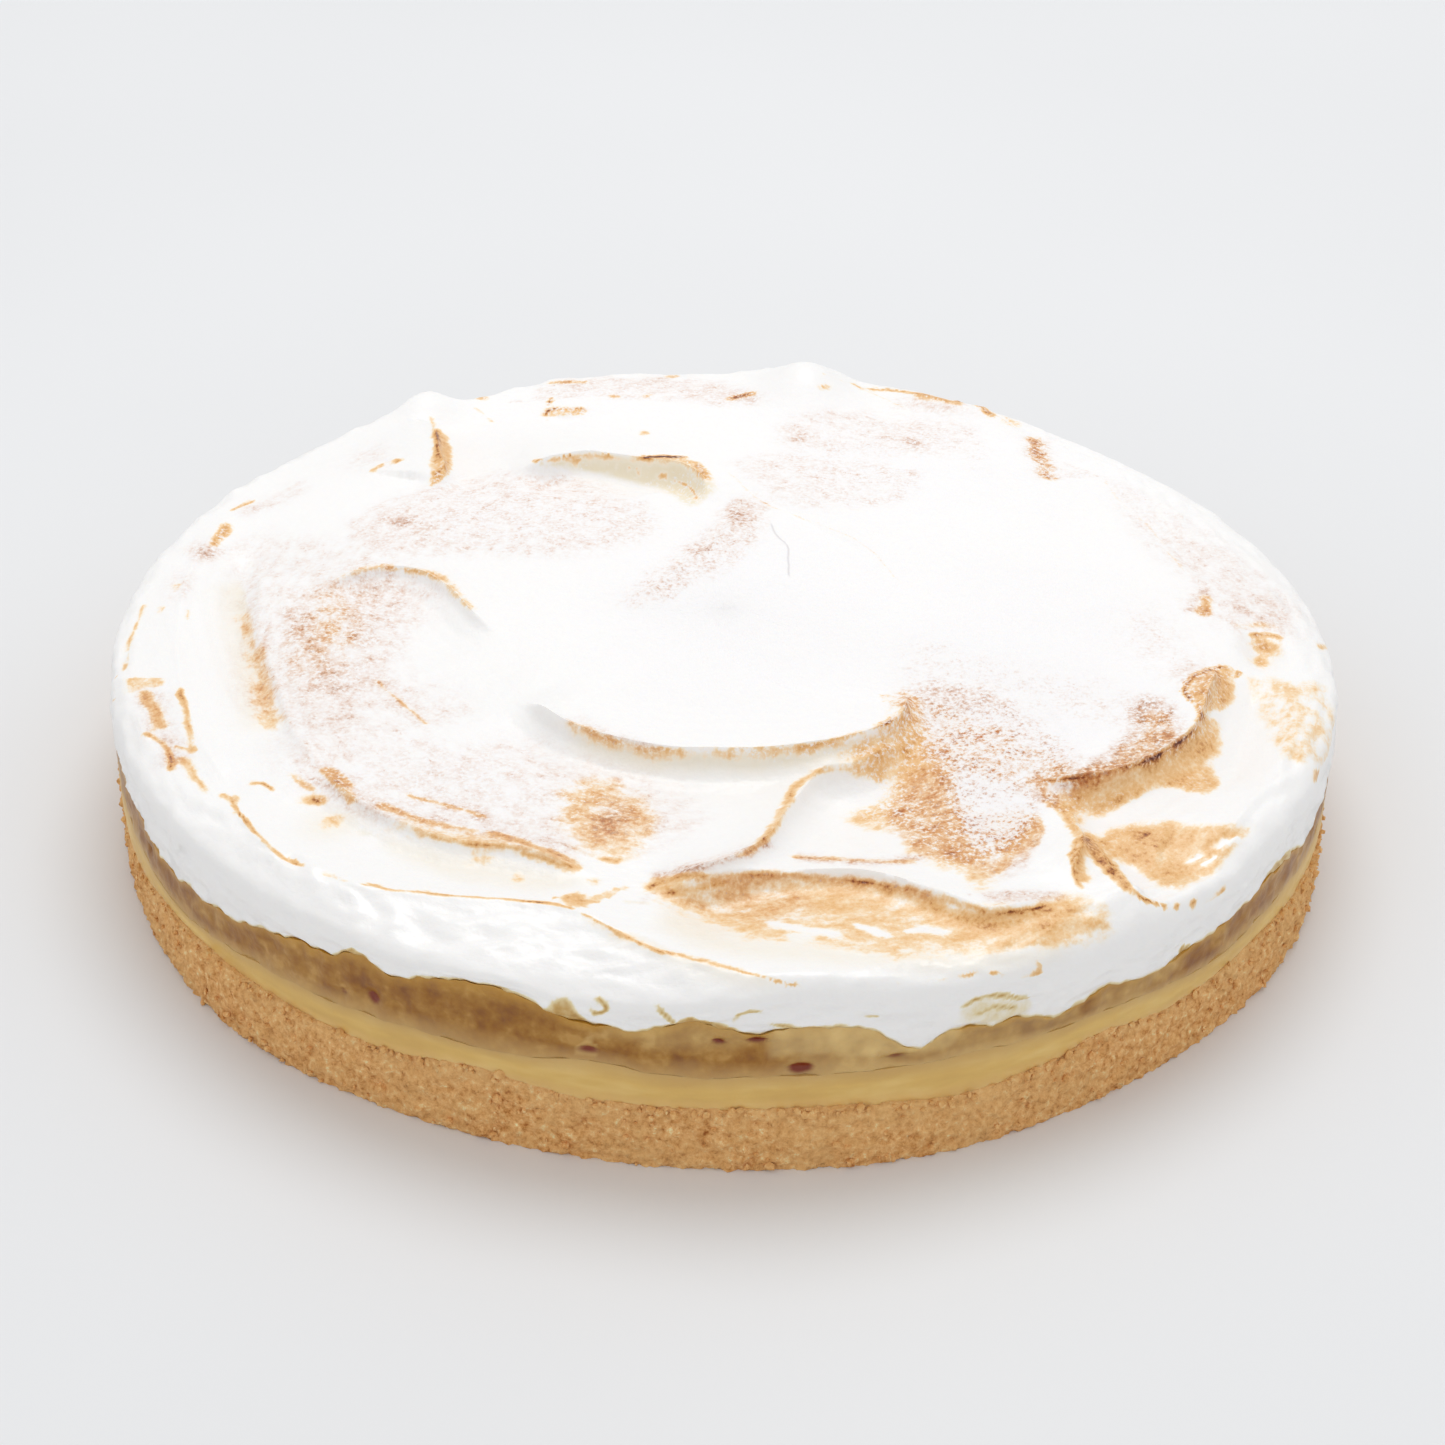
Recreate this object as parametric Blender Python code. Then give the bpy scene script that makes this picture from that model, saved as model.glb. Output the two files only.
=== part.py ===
"""A rhubarb meringue tart, 26 cm across, as four layers that all show at its cut side.

From below: a crumbly shortcrust base, a band of custard, a band of rhubarb compote and a cap of
meringue spread in swirls. Each layer is one closed solid. Neighbours share one wavy surface and
keep a hair's gap between them. The origin is the middle of the flat base, with +Z up, and the side
that the swirls are combed towards faces -Y.
"""

import math
from collections import namedtuple

import bmesh
import bpy
import numpy as np
from mathutils import Vector
from mathutils.geometry import delaunay_2d_cdt

MM = 0.001

# Driving dimensions, in metres.
TART_RADIUS = 129.7 * MM
CRUST_HEIGHT = 14.2 * MM
CUSTARD_TOP = 21.4 * MM
COMPOTE_TOP = 31.0 * MM
RIM_HEIGHT = 41.0 * MM
CENTRE_HEIGHT = 43.5 * MM
LAYER_GAP = 0.3 * MM
CRUMB_RELIEF = 0.5 * MM

# How finely the solids are divided.
SEGMENTS = 120
FILLING_RING = 0.9
TOP_SPACING = 5.0 * MM
CREST_SPACING = 3.0 * MM
CREST_FLANK = 1.8 * MM
SHOULDER_ROWS = (0.7 * MM, 2.4 * MM, 5.2 * MM)
LEAST_SPACING = 1.7 * MM

MERGE_DISTANCE = 0.0001 * MM

SEED = 7

# A hump or a dip round the rim: its angle from +X and its width, both in degrees, and its height.
Wave = namedtuple("Wave", "angle width height")

CRUST_BULGES = [
    Wave(-137, 14, 2.0 * MM),
    Wave(-74, 14, 1.6 * MM),
    Wave(-28, 12, 1.2 * MM),
    Wave(22, 15, 1.7 * MM),
    Wave(75, 12, 1.4 * MM),
    Wave(118, 14, 1.8 * MM),
    Wave(163, 11, 1.6 * MM),
]
CRUST_TOP_WAVES = [
    Wave(-172, 7, 1.6 * MM),
    Wave(-157, 6, -2.2 * MM),
    Wave(-110, 6, 2.6 * MM),
    Wave(-70, 7, -2.0 * MM),
    Wave(-56, 4, 2.2 * MM),
    Wave(-36, 6, 1.2 * MM),
    Wave(-16, 10, -1.4 * MM),
    Wave(10, 9, -1.2 * MM),
    Wave(64, 8, 1.3 * MM),
    Wave(130, 9, -1.4 * MM),
]
CUSTARD_TOP_WAVES = [
    Wave(-146, 12, -4.6 * MM),
    Wave(-127, 5, -1.0 * MM),
    Wave(-100, 4, 1.8 * MM),
    Wave(-42, 9, -2.6 * MM),
    Wave(-20, 11, -2.6 * MM),
    Wave(12, 10, 1.0 * MM),
    Wave(80, 14, -1.4 * MM),
    Wave(150, 12, 1.2 * MM),
]
COMPOTE_TOP_WAVES = [
    Wave(-148, 9, -5.8 * MM),
    Wave(-137.5, 6.5, -3.4 * MM),
    Wave(-121, 2, 3.2 * MM),
    Wave(-113, 4, 3.4 * MM),
    Wave(-107, 4, 4.6 * MM),
    Wave(-92, 3, 3.2 * MM),
    Wave(-82, 4, 1.6 * MM),
    Wave(-74.3, 2.6, -5.0 * MM),
    Wave(-68, 4.5, -3.0 * MM),
    Wave(-61.5, 2.5, -2.8 * MM),
    Wave(-49, 15, -5.8 * MM),
    Wave(-22, 9, -5.4 * MM),
    Wave(18, 9, 1.8 * MM),
    Wave(55, 6, -2.4 * MM),
    Wave(96, 10, 2.2 * MM),
    Wave(140, 7, -2.0 * MM),
    Wave(172, 9, 1.8 * MM),
]

# The meringue's shoulder, where its wall turns over into the top: how far in it reaches and how
# high the wall stands below it. The front left is a long slope under a crisp edge.
SHOULDER_WIDTH = 6.0 * MM
SHOULDER_WIDTHS = [
    Wave(-105, 11, 14.0 * MM),
    Wave(-134, 14, 6.0 * MM),
    Wave(-83, 7, -2.5 * MM),
    Wave(-45, 20, 4.0 * MM),
    Wave(36, 24, 15.0 * MM),
    Wave(170, 30, -2.0 * MM),
]
LEAST_WALL = 2.0 * MM
WALL_TOP = 36.5 * MM
WALL_TOPS = [
    Wave(-105, 12, -1.5 * MM),
    Wave(-84, 8, 2.0 * MM),
    Wave(-50, 14, -1.8 * MM),
    Wave(40, 22, -2.0 * MM),
    Wave(95, 9, -2.0 * MM),
    Wave(175, 35, 1.5 * MM),
]

# A line that the spatula left: the points its smooth curve runs through, and its height. Walking
# along it, left and right are how far its flank reaches on each side, and the two gutters are how
# deep the hollow past each flank is. Plain numbers here are millimetres.
Ridge = namedtuple("Ridge", "points height left right left_gutter right_gutter")
# A round or oval swelling, or a hollow where its height is negative.
Mound = namedtuple("Mound", "x y radius_x radius_y height")

RIDGES = {
    "dome_front_fold": Ridge(
        [(-42, -36), (-29.5, -50), (-15, -56), (0, -57.5), (15, -57), (27.5, -52.5), (34.5, -45.5), (37, -31)],
        height=3.8, left=20, right=3.2, left_gutter=0, right_gutter=1.8,
    ),
    "front_thin_crest": Ridge(
        [(38, -49.5), (27, -58), (18, -62), (12, -75.5), (8, -87), (0, -94.5), (-14, -98)],
        height=2.3, left=3.0, right=5, left_gutter=2.2, right_gutter=0.4,
    ),
    "front_shelf": Ridge(
        [(-14, -100), (-4, -98), (8, -94.5), (27, -94.5), (42, -101.5), (50.5, -106), (63, -101)],
        height=2.0, left=6, right=2.2, left_gutter=0, right_gutter=1.1,
    ),
    "front_crisp_edge": Ridge(
        [(-95, -69), (-88, -85), (-74, -98), (-50, -103.5), (-27, -107.5), (-10, -120), (12, -127), (40.5, -122)],
        height=0.9, left=7, right=2.6, left_gutter=0, right_gutter=0.3,
    ),
    "star_west_edge": Ridge(
        [(59, -67), (65.5, -73), (67.5, -84.5), (65.5, -93.5), (68, -99)],
        height=2.6, left=2.4, right=9, left_gutter=0.8, right_gutter=0.5,
    ),
    "star_bowl_edge": Ridge(
        [(70.5, -76.5), (73, -92), (80, -98.5), (91.5, -91.5), (102.5, -83.5)],
        height=2.2, left=2.6, right=7, left_gutter=1.9, right_gutter=0,
    ),
    "right_curled_lip": Ridge(
        [(60, -63), (74.5, -63), (87, -53), (94, -43.5), (97.5, -33), (103, -16.5)],
        height=3.7, left=14, right=3.2, left_gutter=0, right_gutter=2.1,
    ),
    "right_trough": Ridge(
        [(107, -10.5), (109.5, -22.5), (107, -38), (98, -63)],
        height=-1.6, left=6, right=6, left_gutter=0, right_gutter=0,
    ),
    "right_rim_swell": Ridge(
        [(119, -19.5), (116, -42.5), (107, -65)],
        height=1.0, left=6, right=5, left_gutter=0, right_gutter=0,
    ),
    "left_groove": Ridge(
        [(-105, 31.5), (-107, 12.5), (-102, -11), (-92.5, -37), (-86, -57)],
        height=-2.5, left=6, right=6, left_gutter=0, right_gutter=0,
    ),
    "left_rim_swell": Ridge(
        [(-113, 48), (-117.5, 12.5), (-114.5, -19.5), (-105.5, -49.5), (-96, -67)],
        height=1.3, left=5, right=6, left_gutter=0, right_gutter=0,
    ),
    "left_inner_crest": Ridge(
        [(-101.5, 23.5), (-99, -4), (-93, -23.5), (-86, -47.5), (-78, -62.5)],
        height=1.2, left=7, right=3.4, left_gutter=0, right_gutter=0,
    ),
    "left_arc": Ridge(
        [(-90, 7.5), (-79.5, 14.5), (-68.5, 16.5), (-59.5, 8.5), (-52.5, -4.5), (-46, -12.5)],
        height=2.3, left=9, right=3.6, left_gutter=0, right_gutter=2.0,
    ),
    "back_overhang": Ridge(
        [(-52, 66), (-40, 69), (-32, 71.5), (-20, 70), (-10, 68), (-4.5, 58.5), (-6, 50)],
        height=3.0, left=10, right=2.4, left_gutter=0, right_gutter=3.0,
    ),
    "pocket_near_edge": Ridge(
        [(-42, 67), (-30, 65), (-20, 62), (-13, 58), (-9, 53), (-7, 47)],
        height=0.9, left=1.4, right=6, left_gutter=0, right_gutter=0,
    ),
    "middle_seam": Ridge(
        [(0, 62), (12, 50), (35, 25)],
        height=-0.7, left=3, right=3, left_gutter=0, right_gutter=0,
    ),
    "middle_swell": Ridge(
        [(4, 49.5), (-1, 31), (-10, 14.5), (-22, -2.5)],
        height=1.4, left=8, right=7, left_gutter=0, right_gutter=0,
    ),
    "back_left_face": Ridge(
        [(-77.5, 93), (-71, 83), (-68.5, 72), (-66.5, 61.5), (-71, 56.5)],
        height=3.2, left=2.8, right=9, left_gutter=1.5, right_gutter=0,
    ),
    "back_notch": Ridge(
        [(-47, 96.5), (-41, 99.5), (-31, 99.5)],
        height=1.4, left=5, right=2.4, left_gutter=0, right_gutter=1.2,
    ),
    "back_right_lip": Ridge(
        [(38, 115), (49.5, 107.5), (61.5, 99.5), (73, 88)],
        height=2.0, left=2.8, right=5, left_gutter=0, right_gutter=0.5,
    ),
    "right_back_crease": Ridge(
        [(87, 69), (96.5, 48.5), (109, 17)],
        height=-0.9, left=3, right=3, left_gutter=0, right_gutter=0,
    ),
    "front_left_band": Ridge(
        [(-80, -60.5), (-69.5, -74), (-52, -85.5), (-38, -89), (-22, -96.5)],
        height=1.8, left=8, right=3, left_gutter=0, right_gutter=1.3,
    ),
}

MOUNDS = {
    "dome": Mound(4, -12, 46, 38, 1.8),
    "sugared_mass": Mound(66, -28, 30, 34, 1.2),
    "back_hump": Mound(19, 113, 10.5, 12, 7.8),
    "back_left_peak": Mound(-73, 100, 8, 9, 4.6),
    "back_pocket": Mound(-20, 63, 15, 8, -1.6),
    "front_hollow": Mound(24, -73, 11, 11, -1.4),
    "bowl": Mound(87, -84, 12, 9, -1.4),
    "crater_rim": Mound(114, -8, 8, 11, 1.8),
    "crater": Mound(114, -8, 4.5, 7.5, -4.6),
    "back_notch_hollow": Mound(-39, 99, 7, 3.5, -1.4),
    "back_left_pillow": Mound(-40, 45, 30, 18, 1.0),
    "right_back_pillow": Mound(60, 62, 34, 26, 1.1),
}

END_FADE = 12.0 * MM
CURVE_STEP = 2.0 * MM
GUTTER_REACH = 3.0
FLANK_POWER = 1.4
SWELL_HEIGHT = 0.35 * MM
SWELL_LENGTH = 46.0 * MM

# Each layer's colour and roughness.
LAYER_LOOKS = {
    "crust": ((0.60, 0.36, 0.17), 0.85),
    "custard": ((0.62, 0.45, 0.14), 0.45),
    "compote": ((0.34, 0.22, 0.07), 0.40),
    "meringue": ((0.90, 0.88, 0.84), 0.50),
}

random = np.random.default_rng(SEED)


def clear_scene():
    for thing in list(bpy.data.objects):
        bpy.data.objects.remove(thing, do_unlink=True)


def waves(angles, mean, humps):
    """A height or a radius round the rim: the mean, with each hump or dip added to it."""
    total = np.full(len(angles), mean)
    for hump in humps:
        away = (angles - hump.angle + 180.0) % 360.0 - 180.0
        total += hump.height * np.exp(-((away / hump.width) ** 2))
    return total


def ring(radii, heights, angles):
    """The points of one ring round the tart."""
    turn = np.radians(angles)
    heights = np.broadcast_to(heights, angles.shape)
    return np.column_stack([radii * np.cos(turn), radii * np.sin(turn), heights])


def smooth_curve(points):
    """A smooth curve through the points, as closely spaced points: a Catmull-Rom spline."""
    knots = np.array(points, dtype=float) * MM
    knots = np.vstack([2 * knots[0] - knots[1], knots, 2 * knots[-1] - knots[-2]])
    curve = []
    for before, start, end, after in zip(knots, knots[1:], knots[2:], knots[3:]):
        steps = max(2, round(np.linalg.norm(end - start) / CURVE_STEP))
        for t in np.arange(steps) / steps:
            pull = (end - before) * t
            bend = (2 * before - 5 * start + 4 * end - after) * t**2
            twist = (3 * start - before - 3 * end + after) * t**3
            curve.append(start + 0.5 * (pull + bend + twist))
    curve.append(knots[-2])
    return np.array(curve)


def from_curve(places, curve):
    """Each place's distance from the curve, positive on its left, and from the curve's ends."""
    starts = curve[:-1]
    spans = np.diff(curve, axis=0)
    lengths = np.hypot(spans[:, 0], spans[:, 1])
    along_curve = np.concatenate([[0.0], np.cumsum(lengths)])
    gaps = places[:, None, :] - starts[None, :, :]
    along = np.clip((gaps * spans).sum(axis=2) / lengths**2, 0.0, 1.0)
    nearest = gaps - along[:, :, None] * spans
    distances = np.hypot(nearest[:, :, 0], nearest[:, :, 1])
    chosen = distances.argmin(axis=1)
    row = np.arange(len(places))
    away = nearest[row, chosen]
    span = spans[chosen]
    side = np.sign(span[:, 0] * away[:, 1] - span[:, 1] * away[:, 0])
    reached = along_curve[chosen] + along[row, chosen] * lengths[chosen]
    from_end = np.minimum(reached, along_curve[-1] - reached)
    return side * distances[row, chosen], from_end


def ridge_height(places, ridge):
    """How much a spatula line raises or lowers the surface at each place."""
    distance, from_end = from_curve(places, smooth_curve(ridge.points))
    on_left = distance > 0
    reach = np.where(on_left, ridge.left, ridge.right) * MM
    gutter = np.where(on_left, ridge.left_gutter, ridge.right_gutter) * MM
    crest = ridge.height * MM * np.exp(-((np.abs(distance) / reach) ** FLANK_POWER))
    outward = np.abs(distance) / (reach * GUTTER_REACH)
    hollow = gutter * outward * np.exp(1.0 - outward) * np.exp(-(outward**2) / 4)
    fade = np.clip(from_end / END_FADE, 0.0, 1.0)
    fade = fade * fade * (3.0 - 2.0 * fade)
    return fade * (crest - hollow)


def mound_height(places, mound):
    across = (places[:, 0] / MM - mound.x) / mound.radius_x
    along = (places[:, 1] / MM - mound.y) / mound.radius_y
    return mound.height * MM * np.exp(-(across**2 + along**2))


def wall_tops(angles):
    """How high the meringue's wall stands: always a little above the compote."""
    least = waves(angles, COMPOTE_TOP, COMPOTE_TOP_WAVES) + LEAST_WALL
    return np.maximum(waves(angles, WALL_TOP, WALL_TOPS), least)


def top_height(places):
    """The meringue's top: a low dome with a turned shoulder, and every ridge and mound on it."""
    radius = np.hypot(places[:, 0], places[:, 1])
    angles = np.degrees(np.arctan2(places[:, 1], places[:, 0]))
    inward = np.clip(TART_RADIUS - radius, 0.0, None)
    width = waves(angles, SHOULDER_WIDTH, SHOULDER_WIDTHS)
    wall_top = wall_tops(angles)
    turned = np.sqrt(1.0 - (1.0 - np.clip(inward / width, 0.0, 1.0)) ** 2)
    dome = RIM_HEIGHT + (CENTRE_HEIGHT - RIM_HEIGHT) * (1.0 - (radius / TART_RADIUS) ** 2)
    relief = SWELL_HEIGHT * np.sin(places[:, 0] / SWELL_LENGTH * math.tau)
    relief += SWELL_HEIGHT * np.sin((places[:, 1] + 0.4 * places[:, 0]) / SWELL_LENGTH * math.tau)
    for ridge in RIDGES.values():
        relief += ridge_height(places, ridge)
    for mound in MOUNDS.values():
        relief += mound_height(places, mound)
    return wall_top + (dome + relief - wall_top) * turned


def far_enough(places, kept, least):
    """The places that lie at least that far from everything kept so far and from each other."""
    chosen = list(kept)
    cells = {}
    for place in chosen:
        cells.setdefault((place // least).astype(int).tobytes(), []).append(place)
    for place in places:
        cell = (place // least).astype(int)
        near = []
        for across in (-1, 0, 1):
            for along in (-1, 0, 1):
                near += cells.get((cell + (across, along)).tobytes(), [])
        if all(np.hypot(*(place - other)) >= least for other in near):
            chosen.append(place)
            cells.setdefault(cell.tobytes(), []).append(place)
    return chosen


def crest_places():
    """Points on each ridge line and beside it, where the surface bends the most."""
    places = []
    for ridge in RIDGES.values():
        curve = smooth_curve(ridge.points)
        lengths = np.hypot(*np.diff(curve, axis=0).T)
        travelled = np.concatenate([[0.0], np.cumsum(lengths)])
        stops = np.arange(CREST_SPACING / 2, travelled[-1], CREST_SPACING)
        line = np.column_stack([np.interp(stops, travelled, curve[:, axis]) for axis in (0, 1)])
        ahead = np.gradient(line, axis=0)
        ahead /= np.hypot(ahead[:, 0], ahead[:, 1])[:, None]
        beside = np.column_stack([-ahead[:, 1], ahead[:, 0]])
        for offset in (0.0, CREST_FLANK, -CREST_FLANK):
            places += list(line + offset * beside)
    return places


def open_places():
    """Evenly spread points in staggered rows, each moved a little off its place."""
    places = []
    row_gap = TOP_SPACING * math.sqrt(0.75)
    rows = int(TART_RADIUS / row_gap)
    for row in range(-rows, rows + 1):
        shift = TOP_SPACING / 2 if row % 2 else 0.0
        for x in np.arange(-TART_RADIUS + shift, TART_RADIUS, TOP_SPACING):
            places.append(np.array([x, row * row_gap]) + random.uniform(-1, 1, 2) * TOP_SPACING / 8)
    return places


def top_points(angles):
    """The meringue's top seen from above: rows along the shoulder, then crests, then the rest."""
    kept = []
    for inset in SHOULDER_ROWS:
        kept += list(ring(TART_RADIUS - inset, 0.0, angles)[:, :2])
    inside = TART_RADIUS - SHOULDER_ROWS[-1] - LEAST_SPACING
    crests = [place for place in crest_places() if np.hypot(*place) < inside]
    kept = far_enough(crests, kept, LEAST_SPACING)
    others = [place for place in open_places() if np.hypot(*place) < inside]
    kept = far_enough(others, kept, TOP_SPACING * 0.62)
    return np.array(kept)


def add_ring(mesh, points):
    return [mesh.verts.new(Vector(point)) for point in points]


def bridge(mesh, lower, upper):
    """Joins two rings, the lower one first, with two triangles for each segment, facing out."""
    count = len(lower)
    for here in range(count):
        there = (here + 1) % count
        mesh.faces.new((lower[here], lower[there], upper[there]))
        mesh.faces.new((lower[here], upper[there], upper[here]))


def close_layer(mesh, wall, inner_points):
    """A layer's top or underside: a strip in from the wall, and a flat middle.

    The two sides of one gap are cut into triangles alike, so they can't cross.
    """
    inner = add_ring(mesh, inner_points)
    bridge(mesh, inner, wall)
    mesh.faces.new(inner)


def close_top_with_swirls(mesh, rim, angles):
    """The meringue's top: one triangle net from the wall's upper ring to the middle."""
    places = top_points(angles)
    heights = top_height(places)
    net = [Vector(vert.co.xy) for vert in rim] + [Vector(place) for place in places]
    verts = rim + [mesh.verts.new((x, y, z)) for (x, y), z in zip(places, heights)]
    rows = range(0, SEGMENTS * (1 + len(SHOULDER_ROWS)), SEGMENTS)
    edges = [(row + here, row + (here + 1) % SEGMENTS) for row in rows for here in range(SEGMENTS)]
    result = delaunay_2d_cdt(net, edges, [], 1, MERGE_DISTANCE)
    sources = result[3]
    for face in result[2]:
        corners = [verts[sources[corner][0]] for corner in face]
        mesh.faces.new(corners)


def finish_layer(mesh, name):
    """Turns the built mesh into a named object with its material, smooth but for its edges."""
    bmesh.ops.triangulate(mesh, faces=[face for face in mesh.faces if len(face.verts) > 3])
    bmesh.ops.recalc_face_normals(mesh, faces=mesh.faces)
    data = bpy.data.meshes.new(name)
    mesh.to_mesh(data)
    mesh.free()
    data.shade_smooth()
    data.set_sharp_from_angle(angle=math.radians(50))
    colour, roughness = LAYER_LOOKS[name]
    material = bpy.data.materials.new(name)
    material.use_nodes = True
    shader = material.node_tree.nodes["Principled BSDF"]
    shader.inputs["Base Color"].default_value = (*colour, 1.0)
    shader.inputs["Roughness"].default_value = roughness
    shader.inputs["Metallic"].default_value = 0.0
    data.materials.append(material)
    layer = bpy.data.objects.new(name, data)
    bpy.context.scene.collection.objects.link(layer)
    return layer


def interface(angles, mean, humps, offset):
    """The wall ring and the inner ring of the surface between two layers."""
    wall = ring(TART_RADIUS, waves(angles, mean, humps) + offset, angles)
    inner = ring(TART_RADIUS * FILLING_RING, mean + offset, angles)
    return wall, inner


def make_crust(angles):
    """A flat shortcrust disc with a crumbly, slightly bulging side."""
    mesh = bmesh.new()
    edge = TART_RADIUS + waves(angles, 0.0, CRUST_BULGES)
    top, top_inner = interface(angles, CRUST_HEIGHT, CRUST_TOP_WAVES, -LAYER_GAP / 2)
    base = add_ring(mesh, ring(edge - CRUMB_RELIEF, 0.0, angles))
    close_layer(mesh, base, ring(edge * FILLING_RING, 0.0, angles))
    below = base
    for share in (0.12, 0.45, 0.8):
        crumbs = random.uniform(-1, 1, SEGMENTS) * CRUMB_RELIEF
        above = add_ring(mesh, ring(edge + crumbs, top[:, 2] * share, angles))
        bridge(mesh, below, above)
        below = above
    rim = add_ring(mesh, top)
    bridge(mesh, below, rim)
    close_layer(mesh, rim, top_inner)
    return finish_layer(mesh, "crust")


def make_filling(name, angles, bottom, top, belly):
    """A soft layer between two wavy surfaces, whose wall bulges by the belly."""
    mesh = bmesh.new()
    bottom_wall, bottom_inner = bottom
    top_wall, top_inner = top
    base = add_ring(mesh, bottom_wall)
    close_layer(mesh, base, bottom_inner)
    below = base
    for share in (0.35, 0.7):
        heights = bottom_wall[:, 2] + share * (top_wall[:, 2] - bottom_wall[:, 2])
        uneven = belly * (0.6 + 0.4 * random.uniform(-1, 1, SEGMENTS))
        above = add_ring(mesh, ring(TART_RADIUS + uneven, heights, angles))
        bridge(mesh, below, above)
        below = above
    rim = add_ring(mesh, top_wall)
    bridge(mesh, below, rim)
    close_layer(mesh, rim, top_inner)
    return finish_layer(name=name, mesh=mesh)


def make_meringue(angles, bottom):
    """The cap: a near upright wall, a turned shoulder and a top spread in swirls."""
    mesh = bmesh.new()
    bottom_wall, bottom_inner = bottom
    base = add_ring(mesh, bottom_wall)
    close_layer(mesh, base, bottom_inner)
    wall_top = wall_tops(angles)
    middle = (bottom_wall[:, 2] + wall_top) / 2
    smear = 0.35 * MM * (1.0 + random.uniform(-1, 1, SEGMENTS))
    belly = add_ring(mesh, ring(TART_RADIUS + smear, middle, angles))
    bridge(mesh, base, belly)
    rim = add_ring(mesh, ring(TART_RADIUS, wall_top, angles))
    bridge(mesh, belly, rim)
    close_top_with_swirls(mesh, rim, angles)
    return finish_layer(mesh, "meringue")


def make_tart():
    angles = np.arange(SEGMENTS) * 360.0 / SEGMENTS
    half_gap = LAYER_GAP / 2
    make_crust(angles)
    make_filling(
        "custard",
        angles,
        interface(angles, CRUST_HEIGHT, CRUST_TOP_WAVES, half_gap),
        interface(angles, CUSTARD_TOP, CUSTARD_TOP_WAVES, -half_gap),
        belly=0.2 * MM,
    )
    make_filling(
        "compote",
        angles,
        interface(angles, CUSTARD_TOP, CUSTARD_TOP_WAVES, half_gap),
        interface(angles, COMPOTE_TOP, COMPOTE_TOP_WAVES, -half_gap),
        belly=-0.3 * MM,
    )
    make_meringue(angles, interface(angles, COMPOTE_TOP, COMPOTE_TOP_WAVES, half_gap))


clear_scene()
make_tart()
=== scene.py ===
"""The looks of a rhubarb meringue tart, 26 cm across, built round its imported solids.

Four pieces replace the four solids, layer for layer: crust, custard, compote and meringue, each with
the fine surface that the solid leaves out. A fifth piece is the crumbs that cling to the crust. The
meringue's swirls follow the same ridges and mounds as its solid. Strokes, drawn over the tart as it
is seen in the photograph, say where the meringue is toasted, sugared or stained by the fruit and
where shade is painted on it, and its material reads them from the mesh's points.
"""

import math
from collections import namedtuple

import bmesh
import bpy
import numpy as np
from mathutils import Matrix, Vector, noise
from mathutils.geometry import delaunay_2d_cdt
from mathutils.kdtree import KDTree


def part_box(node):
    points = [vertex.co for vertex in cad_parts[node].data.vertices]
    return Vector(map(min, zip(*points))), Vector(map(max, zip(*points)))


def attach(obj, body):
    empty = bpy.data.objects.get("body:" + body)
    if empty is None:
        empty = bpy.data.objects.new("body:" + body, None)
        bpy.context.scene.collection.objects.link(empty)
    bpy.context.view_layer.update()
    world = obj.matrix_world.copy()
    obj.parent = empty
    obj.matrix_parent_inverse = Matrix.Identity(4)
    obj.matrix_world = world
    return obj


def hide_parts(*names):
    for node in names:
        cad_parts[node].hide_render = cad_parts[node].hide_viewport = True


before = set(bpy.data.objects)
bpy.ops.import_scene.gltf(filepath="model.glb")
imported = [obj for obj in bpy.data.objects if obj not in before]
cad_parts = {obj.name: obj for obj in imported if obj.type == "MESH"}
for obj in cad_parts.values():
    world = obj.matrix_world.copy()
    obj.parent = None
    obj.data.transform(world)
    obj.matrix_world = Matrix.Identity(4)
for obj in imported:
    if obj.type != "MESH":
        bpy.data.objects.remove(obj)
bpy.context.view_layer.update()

MM = 0.001
SEED = 11
BODY = "root"

# ---------------------------------------------------------------------------------------------
# Sizes. The radius is the frame's, and the heights repeat the solids' seams.
# ---------------------------------------------------------------------------------------------
TART_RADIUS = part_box("compote")[1][0]
CRUST_HEIGHT = 14.2 * MM
CUSTARD_TOP = 21.4 * MM
COMPOTE_TOP = 31.0 * MM
RIM_HEIGHT = 41.0 * MM
CENTRE_HEIGHT = 43.5 * MM
# The layers lie this far apart, and their hidden faces are flat inside this share of the radius.
HAIR_GAP = 0.02 * MM
FILLING_RING = 0.9
# One degree along the rim, in millimetres.
MM_PER_DEGREE = TART_RADIUS * math.pi / 180.0 / MM

# How finely each piece is divided.
WALL_COLUMNS = 1200
MERINGUE_ROWS = 17
CRUST_ROWS = 26
FILLING_ROWS = 14
TOP_SPACING = 0.95 * MM
CREST_SPACING = 0.7 * MM
CREST_OFFSETS = (0.0, 0.5 * MM, -0.5 * MM, 1.05 * MM, -1.05 * MM)
SHOULDER_INSETS = (0.3 * MM, 0.7 * MM, 1.25 * MM, 1.95 * MM, 2.8 * MM, 3.7 * MM)
LEAST_SPACING = 0.34 * MM
MERGE_DISTANCE = 0.0001 * MM
# The open net keeps off the finer rows by this share of its own spacing.
OPEN_CLEARANCE = 0.66
# A stroke narrower than this many millimetres is too thin for the open net.
THIN_STROKE = 2.3
# Distances from a curve are worked out for this many places at a time, which saves memory.
PLACES_AT_A_TIME = 4000

# A hump or a dip round the rim: its angle from +X and its width, both in degrees, and its height.
Wave = namedtuple("Wave", "angle width height")

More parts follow.
